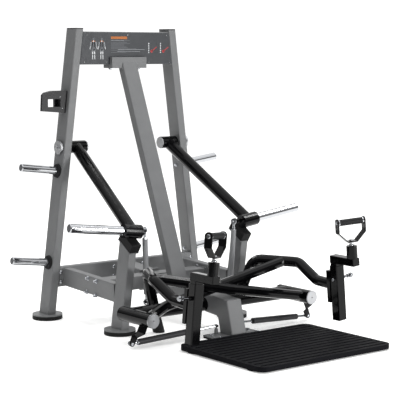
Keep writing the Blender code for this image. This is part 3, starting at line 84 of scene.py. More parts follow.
def makeStudio():
    scene = bpy.context.scene
    scene.view_settings.view_transform = "Standard"
    world = bpy.data.worlds.new("paleStudio")
    world.use_nodes = True
    tree = world.node_tree
    background = tree.nodes["Background"]
    toward = addNode(tree, "ShaderNodeTexCoord").outputs["Generated"]
    lean = vectorMath(tree, "DOT_PRODUCT", toward, studio["backdropFacing"])
    backdrop = remap(tree, lean, studio["backdropFrom"], studio["backdropFull"], 0.0, studio["backdrop"])
    rise = addNode(tree, "ShaderNodeSeparateXYZ", {}, {0: toward}).outputs["Z"]
    ceiling = remap(tree, rise, studio["ceilingFrom"], studio["ceilingFull"],
                    studio["wall"], studio["ceiling"])
    bright = mathNode(tree, "MAXIMUM", backdrop, ceiling)
    background.inputs["Color"].default_value = linearColour(studio["lightHex"])
    tree.links.new(bright, background.inputs["Strength"])
    scene.world = world
    for name, (place, aim, width, height, power) in studio["softboxes"].items():
        data = bpy.data.lights.new(name, "AREA")
        data.shape = "RECTANGLE"
        data.size = width
        data.size_y = height
        data.energy = power
        lamp = bpy.data.objects.new(name, data)
        lamp.location = place
        lamp.rotation_euler = (Vector(aim) - Vector(place)).to_track_quat("-Z", "Y").to_euler()
        scene.collection.objects.link(lamp)


# Finishes

def addNode(tree, kind, settings=None, links=None):
    # settings and links name an input, or give its number; any other name is the node's own setting
    node = tree.nodes.new(kind)
    for key, value in (settings or {}).items():
        if isinstance(key, int) or key in node.inputs:
            node.inputs[key].default_value = value
        else:
            setattr(node, key, value)
    for key, source in (links or {}).items():
        tree.links.new(source, node.inputs[key])
    return node


def operate(tree, kind, operation, values):
    # values are numbers, vectors or outputs, in the order of the node's inputs
    node = addNode(tree, kind, {"operation": operation})
    for number, value in enumerate(values):
        if isinstance(value, bpy.types.NodeSocket):
            tree.links.new(value, node.inputs[number])
        else:
            node.inputs[number].default_value = value
    return node


def mathNode(tree, operation, *values):
    return operate(tree, "ShaderNodeMath", operation, values).outputs[0]


def vectorMath(tree, operation, *values):
    # A dot product and a length are numbers, the rest are vectors
    node = operate(tree, "ShaderNodeVectorMath", operation, values)
    return node.outputs["Value" if operation in ("DOT_PRODUCT", "LENGTH") else "Vector"]


def newMaterial(name, settings):
    material = bpy.data.materials.new(name)
    material.use_nodes = True
    tree = material.node_tree
    shader = tree.nodes["Principled BSDF"]
    for key, value in settings.items():
        shader.inputs[key].default_value = value
    place = addNode(tree, "ShaderNodeTexCoord").outputs["Object"]
    return material, tree, shader, place


def coatedMaterial(name, finish):
    return newMaterial(name, {"IOR": finish["ior"], "Specular IOR Level": finish["specular"]})


def metalMaterial(name):
    return newMaterial(name, {"Metallic": 1.0})


def speckle(tree, place, sizeMm, detail=2.0, rough=0.5):
    # Noise whose blotches are about sizeMm across
    return addNode(tree, "ShaderNodeTexNoise", {"Scale": 1000 / sizeMm, "Detail": detail, "Roughness": rough},
                   {"Vector": place}).outputs["Fac"]


def remap(tree, source, low, high, toLow, toHigh):
    return addNode(tree, "ShaderNodeMapRange", {1: low, 2: high, 3: toLow, 4: toHigh}, {0: source}).outputs[0]


def mask(tree, value, none, full):
    # 0 at none, 1 at full, and held beyond them
    return remap(tree, value, none, full, 0.0, 1.0)


def spread(tree, noise, toLow, toHigh):
    # Noise lies mostly between 0.3 and 0.7
    return remap(tree, noise, 0.3, 0.7, toLow, toHigh)


def blendColour(tree, factor, first, second):
    # first and second are hex codes or colour outputs
    mix = addNode(tree, "ShaderNodeMix", {"data_type": "RGBA"})
    tree.links.new(factor, mix.inputs[0])
    for slotNumber, colour in ((6, first), (7, second)):
        if isinstance(colour, str):
            mix.inputs[slotNumber].default_value = linearColour(colour)
        else:
            tree.links.new(colour, mix.inputs[slotNumber])
    return mix.outputs[2]


def setColour(tree, shader, factor, first, second):
    tree.links.new(blendColour(tree, factor, first, second), shader.inputs["Base Color"])


def setRoughness(tree, shader, noise, lowest, highest):
    tree.links.new(spread(tree, noise, lowest, highest), shader.inputs["Roughness"])


def addBump(tree, shader, height, distanceMm):
    settings = {"Distance": distanceMm / 1000, "Strength": 1.0}
    bump = addNode(tree, "ShaderNodeBump", settings, {"Height": height})
    tree.links.new(bump.outputs[0], shader.inputs["Normal"])


wear = {
    # Paint rubbed thin on edges: how far the normal turns there, as the cosine of the angle
    "samples": 4, "fullyWorn": 0.80, "untouched": 0.97,
}


def edgeWear(tree, radiusMm):
    # 0 on flats, 1 right on a worn edge
    settings = {"samples": wear["samples"], "Radius": radiusMm / 1000}
    rounded = addNode(tree, "ShaderNodeBevel", settings).outputs[0]
    flat = addNode(tree, "ShaderNodeNewGeometry").outputs["Normal"]
    turned = vectorMath(tree, "DOT_PRODUCT", rounded, flat)
    return mask(tree, turned, wear["untouched"], wear["fullyWorn"])


def insideRods(tree, place, rods, softEdge=0.0004):
    # 1 inside any rod given as (centre, axis, start and end along the axis, radius), 0 outside.
    # The distance along a rod is dot(point - centre, axis), and the distance out from its axis is the
    # length of cross(point - centre, axis)
    total = None
    for centre, axis, start, end, radius in rods:
        axis = tuple(Vector(axis).normalized())
        offset = vectorMath(tree, "SUBTRACT", place, centre)
        along = vectorMath(tree, "DOT_PRODUCT", offset, axis)
        out = vectorMath(tree, "LENGTH", vectorMath(tree, "CROSS_PRODUCT", offset, axis))
        inside = remap(tree, out, radius, radius + softEdge, 1.0, 0.0)
        for low, high in ((start - softEdge, start), (end + softEdge, end)):
            inside = mathNode(tree, "MULTIPLY", inside, mask(tree, along, low, high))
        total = inside if total is None else mathNode(tree, "MAXIMUM", total, inside)
    return total


powderCoat = {
    # Polyester powder coat, sprayed and baked: a faint orange peel under an even semi-gloss
    "grey": {"hex": "#626364", "lightHex": "#666768", "edgeHex": "#7b7c7d",
             "roughness": 0.44, "ior": 1.5, "specular": 0.40, "peelHeightMm": 0.05},
    "black": {"hex": "#040405", "lightHex": "#060607", "edgeHex": "#151516",
              "roughness": 0.09, "ior": 1.5, "specular": 0.16, "peelHeightMm": 0.03},
    "rod": {"hex": "#77787a", "lightHex": "#7d7e80", "edgeHex": "#8f9092",
            "roughness": 0.38, "ior": 1.5, "specular": 0.50, "peelHeightMm": 0.03},
    "peelMm": 3.5,            # the real 0.8 mm peel is too fine to show, so it is drawn coarser
    "cloudMm": 90.0, "cloudRange": (0.35, 0.65),
    "dustMm": 26.0, "smoother": 0.03, "duller": 0.06,
    "wearMm": 1.6, "rubMm": 14.0, "rubRange": (0.42, 0.62), "rubMost": 0.55,
}


def powderCoated(name, coatName, brightRods=()):
    coat = powderCoat[coatName]
    material, tree, shader, place = coatedMaterial(name, coat)
    clouds = speckle(tree, place, powderCoat["cloudMm"], detail=4.0)
    colour = blendColour(tree, mask(tree, clouds, *powderCoat["cloudRange"]), coat["hex"], coat["lightHex"])
    patches = speckle(tree, place, powderCoat["rubMm"])
    patches = remap(tree, patches, *powderCoat["rubRange"], 0.0, powderCoat["rubMost"])
    rub = mathNode(tree, "MULTIPLY", edgeWear(tree, powderCoat["wearMm"]), patches)
    colour = blendColour(tree, rub, colour, coat["edgeHex"])
    dust = speckle(tree, place, powderCoat["dustMm"], detail=5.0, rough=0.62)
    rough = spread(tree, dust, coat["roughness"] - powderCoat["smoother"],
                   coat["roughness"] + powderCoat["duller"])
    if brightRods:
        metal = insideRods(tree, place, brightRods)
        colour = blendColour(tree, metal, colour, chrome["boltHex"])
        rough = addNode(tree, "ShaderNodeMix", {3: chrome["roughness"]}, {0: metal, 2: rough}).outputs[0]
        tree.links.new(metal, shader.inputs["Metallic"])
    tree.links.new(colour, shader.inputs["Base Color"])
    tree.links.new(rough, shader.inputs["Roughness"])
    addBump(tree, shader, speckle(tree, place, powderCoat["peelMm"], detail=1.0), coat["peelHeightMm"])
    return material


chrome = {
    # Bright chrome plate over polished steel: nearly a mirror, with faint polishing haze
    "hex": "#bfc0c3", "hazeHex": "#afb1b4", "boltHex": "#8f9194",
    "roughness": 0.06, "nickelRoughness": 0.12, "smoother": 0.02, "duller": 0.05,
    "hazeMm": 18.0, "rippleMm": 9.0, "rippleHeightMm": 0.0005,
}


def chromePlated(name, hexCode=None, roughness=chrome["roughness"]):
    material, tree, shader, place = metalMaterial(name)
    haze = speckle(tree, place, chrome["hazeMm"], detail=4.0, rough=0.6)
    setColour(tree, shader, haze, hexCode or chrome["hex"], hexCode or chrome["hazeHex"])
    setRoughness(tree, shader, haze, roughness - chrome["smoother"], roughness + chrome["duller"])
    addBump(tree, shader, speckle(tree, place, chrome["rippleMm"]), chrome["rippleHeightMm"])
    return material


turnedSteel = {
    # Bright bar faced on a lathe: fine rings round the centre
    "pivotTones": ("#b9babc", "#8d8e90"),
    # Both hub caps are one turned steel: the left cap's darker tones are painted shade and the right cap's
    # lighter tones are painted light
    "hubLitAndShadedTones": {"left": ("#8f9092", "#7b7c7e"), "right": ("#acadaf", "#96979a")},
    "roughness": (0.28, 0.38), "ringMm": 1.6, "ringHeightMm": 0.02, "smearMm": 12.0,
    "ringContrast": 0.2, "ringMiddle": 0.4,
}


def facedOnLathe(name, centre, axisIndex, tones):
    # Rings of equal distance from the axis through centre, along X (0) or Y (1)
    material, tree, shader, place = metalMaterial(name)
    squash = (0.0, 1.0, 1.0) if axisIndex == 0 else (1.0, 0.0, 1.0)
    mapping = {"Location": [-c * s for c, s in zip(centre, squash)], "Scale": squash}
    moved = addNode(tree, "ShaderNodeMapping", mapping, {"Vector": place}).outputs[0]
    away = vectorMath(tree, "LENGTH", moved)
    phase = mathNode(tree, "MULTIPLY", away, 2 * pi * 1000 / turnedSteel["ringMm"])
    rings = mathNode(tree, "SINE", phase)
    tone = mathNode(tree, "MULTIPLY_ADD", rings, turnedSteel["ringContrast"], turnedSteel["ringMiddle"])
    setColour(tree, shader, tone, *tones)
    smear = speckle(tree, place, turnedSteel["smearMm"], detail=3.0)
    setRoughness(tree, shader, smear, *turnedSteel["roughness"])
    addBump(tree, shader, rings, turnedSteel["ringHeightMm"])
    return material


rubber = {
    # Moulded nitrile rubber: deep black, a dull even sheen and a fine grain
    "moulded": {"hex": "#0c0c0d", "dustHex": "#141415", "roughness": (0.58, 0.70),
                "ior": 1.52, "specular": 0.18, "grainMm": 2.4, "grainHeightMm": 0.06},
    "mat": {"hex": "#0b0b0e", "dustHex": "#101014", "roughness": (0.56, 0.68),
            "ior": 1.52, "specular": 0.04, "grainMm": 4.0, "grainHeightMm": 0.05},
    "dustMm": 45.0, "dustRange": (0.4, 0.75),
}


def mouldedRubber(name, kind):
    mix = rubber[kind]
    material, tree, shader, place = coatedMaterial(name, mix)
    dust = speckle(tree, place, rubber["dustMm"], detail=5.0, rough=0.6)
    setColour(tree, shader, mask(tree, dust, *rubber["dustRange"]), mix["hex"], mix["dustHex"])
    setRoughness(tree, shader, dust, *mix["roughness"])
    addBump(tree, shader, speckle(tree, place, mix["grainMm"]), mix["grainHeightMm"])
    return material


gripSkin = {
    # Moulded rubber grip with a pebbled skin
    "hex": "#0d0d0e", "pebbleHex": "#1a1a1c", "ior": 1.5, "specular": 0.18,
    "pebbleMm": 2.2, "pebbleHeightMm": 0.15, "pebbleTop": 0.6, "roughness": (0.42, 0.58),
}


def pebbledGrip(name):
    material, tree, shader, place = coatedMaterial(name, gripSkin)
    settings = {"Scale": 1000 / gripSkin["pebbleMm"]}
    grain = addNode(tree, "ShaderNodeTexVoronoi", settings, {"Vector": place}).outputs["Distance"]
    setColour(tree, shader, grain, gripSkin["hex"], gripSkin["pebbleHex"])
    rough = remap(tree, grain, 0.0, gripSkin["pebbleTop"], *gripSkin["roughness"])
    tree.links.new(rough, shader.inputs["Roughness"])
    addBump(tree, shader, grain, gripSkin["pebbleHeightMm"])
    return material


absPlastic = {
    # Injection moulded ABS: a spark-eroded grain, its high points slightly shiny through a painted sheen, a
    # lighter colour where the grain stands highest
    "hex": "#0f0f11", "grainSheenHex": "#18181a", "ior": 1.53, "specular": 0.22,
    "grainMm": 2.0, "grainHeightMm": 0.08, "roughness": (0.34, 0.48),
}


def mouldedAbs(name):
    material, tree, shader, place = coatedMaterial(name, absPlastic)
    grain = speckle(tree, place, absPlastic["grainMm"], detail=3.0, rough=0.6)
    # Grain tone that differs at random, lighter on the grain's high points as a painted sheen
    setColour(tree, shader, grain, absPlastic["hex"], absPlastic["grainSheenHex"])
    setRoughness(tree, shader, grain, *absPlastic["roughness"])
    addBump(tree, shader, grain, absPlastic["grainHeightMm"])
    return material


wrinkle = {
    # Wrinkle enamel on the damper's tube: a tight crackle, drawn at 3 mm so that it shows
    "hex": "#161618", "ridgeHex": "#2e2e30", "ior": 1.5, "specular": 0.25,
    "roughness": 0.48, "eyeRoughness": 0.09,
    "crackleMm": 3.0, "crackleHeightMm": 0.2, "ridgeFrom": 0.25,
}


def wrinklePaint(name, brightRods):
    material, tree, shader, place = coatedMaterial(name, wrinkle)
    settings = {"feature": "DISTANCE_TO_EDGE", "Scale": 1000 / wrinkle["crackleMm"]}
    crackle = addNode(tree, "ShaderNodeTexVoronoi", settings, {"Vector": place}).outputs["Distance"]
    ridges = mask(tree, crackle, 0.0, wrinkle["ridgeFrom"])
    enamel = blendColour(tree, ridges, wrinkle["hex"], wrinkle["ridgeHex"])
    metal = insideRods(tree, place, brightRods)
    setColour(tree, shader, metal, enamel, chrome["boltHex"])
    tree.links.new(metal, shader.inputs["Metallic"])
    rough = remap(tree, metal, 0.0, 1.0, wrinkle["roughness"], wrinkle["eyeRoughness"])
    tree.links.new(rough, shader.inputs["Roughness"])
    addBump(tree, shader, crackle, wrinkle["crackleHeightMm"])
    return material


panelSheet = {
    # Screen-printed steel sheet: an even slate grey under a satin lacquer
    "hex": "#323437", "lightHex": "#36383b", "edgeHex": "#6f7276", "ior": 1.5, "specular": 0.3,
    "cloudMm": 60.0, "cloudRange": (0.35, 0.65), "sheenMm": 20.0, "roughness": (0.38, 0.48),
    "grainMm": 3.0, "grainHeightMm": 0.015, "wearMm": 1.2,
}


def printedPanel(name):
    material, tree, shader, place = coatedMaterial(name, panelSheet)
    clouds = speckle(tree, place, panelSheet["cloudMm"], detail=4.0)
    clouds = mask(tree, clouds, *panelSheet["cloudRange"])
    sheet = blendColour(tree, clouds, panelSheet["hex"], panelSheet["lightHex"])
    setColour(tree, shader, edgeWear(tree, panelSheet["wearMm"]), sheet, panelSheet["edgeHex"])
    sheen = speckle(tree, place, panelSheet["sheenMm"], detail=3.0)
    setRoughness(tree, shader, sheen, *panelSheet["roughness"])
    addBump(tree, shader, speckle(tree, place, panelSheet["grainMm"]), panelSheet["grainHeightMm"])
    return material


screenInk = {
    # Screen ink on lacquered steel, with slightly uneven cover
    "ior": 1.45, "specular": 0.5, "coverMm": 5.0, "coverRange": (0.4, 0.7), "roughness": (0.45, 0.55),
    "colours": {
        "pale": ("#c3c5c7", "#b4b6b8"), "grey": ("#85888b", "#787b7e"), "dim": ("#54565a", "#4f5155"),
        "orange": ("#a25a17", "#985618"), "red": ("#a12a2c", "#932628"), "dark": ("#26282a", "#2e3032"),
    },
}


def printInk(name, colours):
    material, tree, shader, place = coatedMaterial(name, screenInk)
    cover = speckle(tree, place, screenInk["coverMm"], detail=3.0)
    setColour(tree, shader, mask(tree, cover, *screenInk["coverRange"]), *colours)
    setRoughness(tree, shader, cover, *screenInk["roughness"])
    return material


zincPlate = {
    # Zinc on screws and nuts: greyer than chrome, a little cloudy
    "bright": ("#b4b6ba", "#9a9ca0"), "dull": ("#8a8b8c", "#737476"),
    "cloudMm": 4.0, "roughness": (0.18, 0.30),
}


def zincPlated(name, tones):
    material, tree, shader, place = metalMaterial(name)
    cloud = speckle(tree, place, zincPlate["cloudMm"], detail=3.0)
    setColour(tree, shader, cloud, *tones)
    setRoughness(tree, shader, cloud, *zincPlate["roughness"])
    return material


# The finish of each node, by the start of its name; the first that fits is used, and the rest are grey
nodeFinishes = [
    (("foot_pad", "peg_collar", "post_bumper", "arm_foot", "centre_foot_pad"), "rubber"),
    (("platform",), "mat"),
    (("upright_cap", "holder"), "plastic"),
    (("weight_horn", "storage_peg"), "chrome"),
    (("damper_rod", "pull_pin"), "nickel"),
    (("header_panel",), "panel"),
    (("handle_grip",), "grip"),
    (("weight_arm", "hub_carrier", "lever_arm", "handle_"), "black"),
]

# Places of the linkage, on the right side; the two grips are turned differently, so both axes are given
linkage = {
    "rodTop": (0.3080, 0.1918, 0.5521), "rodLow": (0.2880, 0.2025, 0.1600),
    "crankPin": (0.6020, -0.0912, 0.0260), "damperLug": (0.0780, -0.1312, 0.0580),
    "legStudAxis": (0.2880 - 0.3012, 0.2025 - 0.1243, 0.0),
    "swivelBase": (0.46015, -0.5895, 0.49247), "postAxis": (-0.093066, 0.0, 0.99566),
    "gripCentre": (0.44833, -0.5895, 0.61892),
    "gripAxis": {"left": (-0.909581, -0.406737, 0.08502), "right": (0.935614, -0.34202, 0.087453)},
    "hub": (0.5400, -0.1000, 0.1510), "pivot": (0.3000, 0.8305, 0.9600),
}

# Bright metal on nodes that are painted elsewhere: start and end along the axis, and radius, in metres
brightMetal = {
    "rodTopEnd": (-0.045, 0.030, 0.030), "rodLowEnd": (-0.030, 0.045, 0.030),
    "legStudTip": (-0.0120, 0.020, 0.0125), "legStudShaft": (-0.030, 0.020, 0.0095),
    "crankPinBack": (0.0064, 0.050, 0.013), "crankPinFront": (-0.050, -0.0236, 0.013),
    "armStud": (-0.0135, 0.030, 0.014),
    "eyeAtCrank": (-0.040, 0.030, 0.030), "eyeAtLug": (-0.030, 0.100, 0.030),
    "gripBoltOut": (0.0784, 0.100, 0.012), "gripBoltIn": (-0.100, -0.0784, 0.012),
    "swivelShaft": (-0.050, 0.0195, 0.012), "swivelHead": (0.0262, 0.040, 0.0125),
}

sides = {"left": -1, "right": 1}


def nodeObject(name):
    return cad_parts[name]


def paint(name, material):
    mesh = nodeObject(name).data
    mesh.materials.clear()
    mesh.materials.append(material)


def onSide(placeName, side):
    x, y, z = linkage[placeName]
    return (x * side, y, z)


def finishNodes():
    finishes = {
        "grey": powderCoated("greyPowderCoat", "grey"),
        "black": powderCoated("blackPowderCoat", "black"),
        "chrome": chromePlated("chromePlate"),
        "nickel": chromePlated("nickelPlate", chrome["boltHex"], chrome["nickelRoughness"]),
        "rubber": mouldedRubber("mouldedRubber", "moulded"),
        "mat": mouldedRubber("ribbedMatRubber", "mat"),
        "plastic": mouldedAbs("mouldedAbs"),
        "panel": printedPanel("printedSteelSheet"),
        "grip": pebbledGrip("mouldedGripRubber"),
    }
    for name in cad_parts:
        kind = next((kind for starts, kind in nodeFinishes if name.startswith(starts)), "grey")
        paint(name, finishes[kind])


def finishLiftRod(sideName, side):
    top, low = onSide("rodTop", side), onSide("rodLow", side)
    axis = Vector(top) - Vector(low)
    ends = [(top, axis, *brightMetal["rodTopEnd"]), (low, axis, *brightMetal["rodLowEnd"])]
    paint("lift_rod_" + sideName, powderCoated("rodCoatWithBrightEnds_" + sideName, "rod", ends))


def finishArms(sideName, side):
    # The lever arm's crank is on the hub's side, across from its handle
    studAxis, pin = onSide("legStudAxis", side), onSide("crankPin", -side)
    pins = [(onSide("rodLow", side), studAxis, *brightMetal[name]) for name in ("legStudTip", "legStudShaft")]
    pins += [(pin, (0, 1, 0), *brightMetal[name]) for name in ("crankPinBack", "crankPinFront")]
    paint("lever_arm_" + sideName, powderCoated("armCoatWithBrightPins_" + sideName, "black", pins))
    stud = [(onSide("rodTop", side), (-side, 0, 0), *brightMetal["armStud"])]
    paint("weight_arm_" + sideName, powderCoated("weightArmCoatWithBrightStud_" + sideName, "black", stud))


def finishDamper(sideName, side):
    # The body's own eye is at the crank on the left side and at the lug on the right side
    lug, pin = onSide("damperLug", side), onSide("crankPin", side)
    run = Vector(pin) - Vector(lug)
    eye = (pin, run, *brightMetal["eyeAtCrank"]) if side < 0 else (lug, run, *brightMetal["eyeAtLug"])
    paint("damper_body_" + sideName, wrinklePaint("wrinklePaintWithBrightEye_" + sideName, [eye]))


def finishStrap(sideName, side):
    centre, along = onSide("gripCentre", side), linkage["gripAxis"][sideName]
    base, upward = onSide("swivelBase", side), onSide("postAxis", side)
    rods = [(centre, along, *brightMetal[name]) for name in ("gripBoltOut", "gripBoltIn")]
    rods += [(base, upward, *brightMetal[name]) for name in ("swivelShaft", "swivelHead")]
    paint("handle_strap_" + sideName, powderCoated("strapCoatWithBrightPins_" + sideName, "black", rods))


def finishCaps(sideName, side):
    # Painted light and shade on the hub caps: darker tones on the left side, lighter tones on the right side
    hubLitAndShadedTones = turnedSteel["hubLitAndShadedTones"][sideName]
    hubCap = facedOnLathe("facedHubCapPaintedShading_" + sideName, onSide("hub", side), 1, hubLitAndShadedTones)
    paint("hub_axle_" + sideName, hubCap)
    pivotCap = facedOnLathe("facedPivotCap_" + sideName, onSide("pivot", side), 0, turnedSteel["pivotTones"])
    paint("weight_pivot_" + sideName, pivotCap)


finishNodes()
for sideName, side in sides.items():
    finishLiftRod(sideName, side)
    finishArms(sideName, side)
    finishDamper(sideName, side)
    finishStrap(sideName, side)
    finishCaps(sideName, side)
print("finishes on the", len(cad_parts), "nodes")


makeCamera()
makeStudio()
print("camera and studio ready")


# Fasteners and small trim

sharpFrom = 35        # degrees between two faces from which their edge shows

def meshObject(name, points, faces, material, body, slotName):
    points, faces = welded(np.asarray(points), faces)
    mesh = bpy.data.meshes.new(name)
    mesh.from_pydata(points.tolist(), [], faces)
    mesh.update()
    mesh.materials.append(material)
    piece = bpy.data.objects.new(name, mesh)
    bpy.context.collection.objects.link(piece)
    mesh.shade_smooth()
    mesh.set_sharp_from_angle(angle=radians(sharpFrom))
    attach(piece, body)


def gridFaces(rows, columns):
    # Quads of a grid that is closed round its columns
    i, j = np.meshgrid(np.arange(rows - 1), np.arange(columns), indexing="ij")
    k = (j + 1) % columns
    row, rowAfter = i * columns, (i + 1) * columns
    quads = np.stack([row + j, row + k, rowAfter + k, rowAfter + j], axis=-1)
    return quads.reshape(-1, 4)


def axesFrom(direction):
    direction = np.asarray(direction, float)
    direction = direction / np.linalg.norm(direction)
    helper = np.array([0.0, 0.0, 1.0]) if abs(direction[2]) < 0.9 else np.array([1.0, 0.0, 0.0])
    across = np.cross(helper, direction)
    across /= np.linalg.norm(across)
    return direction, across, np.cross(direction, across)


def turnedGrid(profile, seat, direction, steps, corners=0):
    # Surface of revolution: point(s, t) = seat + axis * along(s) + radius(s) * (across * cos t + up * sin t).
    # With corners, a ring marked 1 is a polygon: its radius is that of the flats divided by the cosine of
    # the angle from the nearest flat's middle
    along, radius, sharp = (np.array(c, float) for c in zip(*[(*p, 0)[:3] for p in profile]))
    turn = np.arange(steps) * 2 * pi / steps
    shape = np.ones((len(along), steps))
    if corners:
        away = (turn + pi / corners) % (2 * pi / corners) - pi / corners
        shape = np.where(sharp[:, None] > 0, 1 / np.cos(away)[None, :], 1.0)
    axis, across, up = axesFrom(direction)
    ring = radius[:, None] * shape
    points = (np.asarray(seat, float) + axis * along[:, None, None]
              + across * (ring * np.cos(turn))[:, :, None] + up * (ring * np.sin(turn))[:, :, None])
    return points.reshape(-1, 3), gridFaces(len(along), steps)


def joined(grids):
    points, faces, start = [], [], 0
    for gridPoints, gridQuads in grids:
        points.append(gridPoints)
        faces.append(gridQuads + start)
        start += len(gridPoints)
    return np.concatenate(points), np.concatenate(faces)


def welded(points, faces):
    # Points that lie together become one, so poles and seams close; a face that loses a corner is a triangle
    _, kept, newIndex = np.unique(points.round(7), axis=0, return_index=True, return_inverse=True)
    newIndex = newIndex.ravel()
    corners = [list(dict.fromkeys(newIndex[face].tolist())) for face in faces]
    return points[kept], [face for face in corners if len(face) > 2]


fastener = {
    # (height, radius, 1 where the ring is a hexagon), in metres, from the face outward
    "domeScrew": [(-0.0002, 0.0), (-0.0002, 0.0044), (0.0007, 0.0044), (0.0018, 0.0037), (0.0024, 0.0025),
                  (0.0025, 0.0017), (0.0014, 0.0014), (0.0014, 0.0)],
    "hexBolt": [(-0.0002, 0.0), (-0.0002, 0.0120), (0.0015, 0.0120), (0.0020, 0.0112), (0.0020, 0.0082, 1),
                (0.0075, 0.0082, 1), (0.0085, 0.0072), (0.0085, 0.0)],
    "capNut": [(-0.0002, 0.0), (-0.0002, 0.0125), (0.0018, 0.0125), (0.0018, 0.0085, 1), (0.0090, 0.0085, 1),
               (0.0100, 0.0066), (0.0145, 0.0062), (0.0180, 0.0040), (0.0188, 0.0)],
    "studNut": [(0.0, 0.0), (0.0, 0.0082, 1), (0.0050, 0.0082, 1), (0.0056, 0.0068), (0.0070, 0.0052),
                (0.0076, 0.0)],
    "buttonHead": [(-0.0002, 0.0), (-0.0002, 0.0095), (0.0016, 0.0092), (0.0040, 0.0068), (0.0048, 0.0046),
                   (0.0048, 0.0030), (0.0024, 0.0028), (0.0024, 0.0)],
}

fastenerMake = {
    "steps": 24, "hexCorners": 6,
    "nutFromEye": 0.0085,                    # along the stud, from the middle of the rod's eye
    # where the lines start that find the handle post's inner face and the front of the crank
    "postLineStart": (0.0, -0.4630, 0.2933), "crankLineY": -0.6,
}

# (y, z) of the bolts on a side rail
railPlaces = ((0.5390, 0.2598), (0.4564, 0.2545), (0.5501, 0.1821), (0.4627, 0.1760))

# kind, node, start point and direction of the line that finds the face
frameFasteners = {
    "panelScrews": ("domeScrew", "header_panel",
                    [((x, -0.4, z), (0, 1, 0)) for x, z in
                     ((-0.269, 1.586), (0.006, 1.587), (0.280, 1.586), (-0.289, 1.436), (-0.143, 1.435),
                      (0.154, 1.435), (0.300, 1.434))]),
    "leftRailBolts": ("capNut", "side_rail_left", [((-1.2, y, z), (1, 0, 0)) for y, z in railPlaces]),
    "rightRailBolts": ("capNut", "side_rail_right", [((1.2, y, z), (-1, 0, 0)) for y, z in railPlaces]),
    "crossBeamEndBolts": ("buttonHead", "middle_frame",
                          [((-0.25, y, z), (-1, 0, 0)) for y, z in ((0.5390, 0.2540), (0.5390, 0.1900))]
                          + [((0.25, y, z), (1, 0, 0)) for y, z in ((0.5453, 0.2538), (0.5453, 0.1900))]),
    "rearBeamBolts": ("buttonHead", "rear_beam",
                      [((x, 0.2, z), (0, 1, 0)) for x in (-0.4590, -0.1010, 0.1010, 0.4590)
                       for z in (0.2615, 0.2080)]),
    "leftUprightBolts": ("hexBolt", "upright_left",
                         [((0.0, 0.8495, z), (-1, 0, 0)) for z in (0.8209, 0.3103)]),
    "rightUprightBolts": ("hexBolt", "upright_right",
                          [((0.0, 0.8495, z), (1, 0, 0)) for z in (0.8209, 0.3103)]),
    "headPlateBolts": ("hexBolt", "mast", [((x, 0.8150, 1.2), (0, 0, 1)) for x in (-0.098, 0.098)]),
    "holderScrews": ("domeScrew", "holder",
                     [((x, 0.3, z), (0, 1, 0)) for x, z in ((-0.4397, 1.2427), (-0.4260, 1.1800))]),
    "leftHubScrew": ("domeScrew", "hub_axle_left", [((-0.540, -0.6, 0.151), (0, 1, 0))]),
    "rightHubScrew": ("domeScrew", "hub_axle_right", [((0.540, -0.6, 0.151), (0, 1, 0))]),
    "footPlateBolts": ("hexBolt", "middle_frame",
                       [((x, y, 0.12), (0, 0, -1)) for x in (-0.125, 0.125) for y in (-0.232, -0.150)]),
}


def onFace(nodeName, start, direction):
    # Where a line meets the node, and the way that face looks
    source = nodeObject(nodeName).data
    tree = BVHTree.FromPolygons([v.co for v in source.vertices], [p.vertices for p in source.polygons])
    place, normal, _, _ = tree.ray_cast(Vector(start), Vector(direction))
    if place is None:
        raise ValueError(f"no face of {nodeName} from {start}")
    return place, normal


def fastenerGrid(kind, seat, direction):
    return turnedGrid(fastener[kind], seat, direction, fastenerMake["steps"], fastenerMake["hexCorners"])


def fastenersOn(name, kind, nodeName, lines, material, body):
    grids = []
    for start, direction in lines:
        place, normal = onFace(nodeName, start, direction)
        grids.append(fastenerGrid(kind, place, normal))
    points, faces = joined(grids)
    meshObject(name, points, faces, material, body, "brushed_steel")


def studNut(name, eye, away, material, body):
    # A nut on the stud's end; away points along the stud, out of the rod's eye
    axis = axesFrom(away)[0]
    nut = fastenerGrid("studNut", np.array(eye) + axis * fastenerMake["nutFromEye"], axis)
    meshObject(name, *nut, material, body, "brushed_steel")


def makeFasteners():
    zinc = zincPlated("brightZinc", zincPlate["bright"])
    dullZinc = zincPlated("dullZinc", zincPlate["dull"])
    for name, (kind, nodeName, lines) in frameFasteners.items():
        fastenersOn(name, kind, nodeName, lines, dullZinc if kind == "domeScrew" else zinc, "frame")
    for sideName, side in sides.items():
        lever = "lever_" + sideName
        postLine = (fastenerMake["postLineStart"], (side, 0, 0))
        fastenersOn("handlePostBolt_" + sideName, "buttonHead", "handle_post_" + sideName,
                    [postLine], zinc, lever)
        studNut("rodTopNut_" + sideName, onSide("rodTop", side), (-side, 0, 0), zinc,
                "weight_arm_" + sideName)
        studNut("rodLowNut_" + sideName, onSide("rodLow", side), onSide("legStudAxis", side), zinc, lever)
        # Head of the damper's pin, on the front of the crank
        pinX, _, pinZ = onSide("crankPin", -side)
        pinLine = ((pinX, fastenerMake["crankLineY"], pinZ), (0, 1, 0))
        fastenersOn("crankPinHead_" + sideName, "buttonHead", "lever_arm_" + sideName, [pinLine], zinc, lever)


makeFasteners()
print("fasteners placed")


handleTrim = {
    # Chromed collars on the roller grip and on the swivel's neck: (distance along the axis, radius)
    "gripRing": [(0.0640, 0.0140), (0.0640, 0.0178), (0.0650, 0.0188), (0.0700, 0.0188), (0.0708, 0.0178),
                 (0.0708, 0.0140), (0.0640, 0.0140)],
    "swivelNeck": [(0.0012, 0.0064), (0.0012, 0.0135), (0.0030, 0.0142), (0.0060, 0.0138), (0.0090, 0.0112),
                   (0.0150, 0.0104), (0.0185, 0.0112), (0.0195, 0.0108), (0.0195, 0.0090), (0.0012, 0.0064)],
    "steps": 32,
}


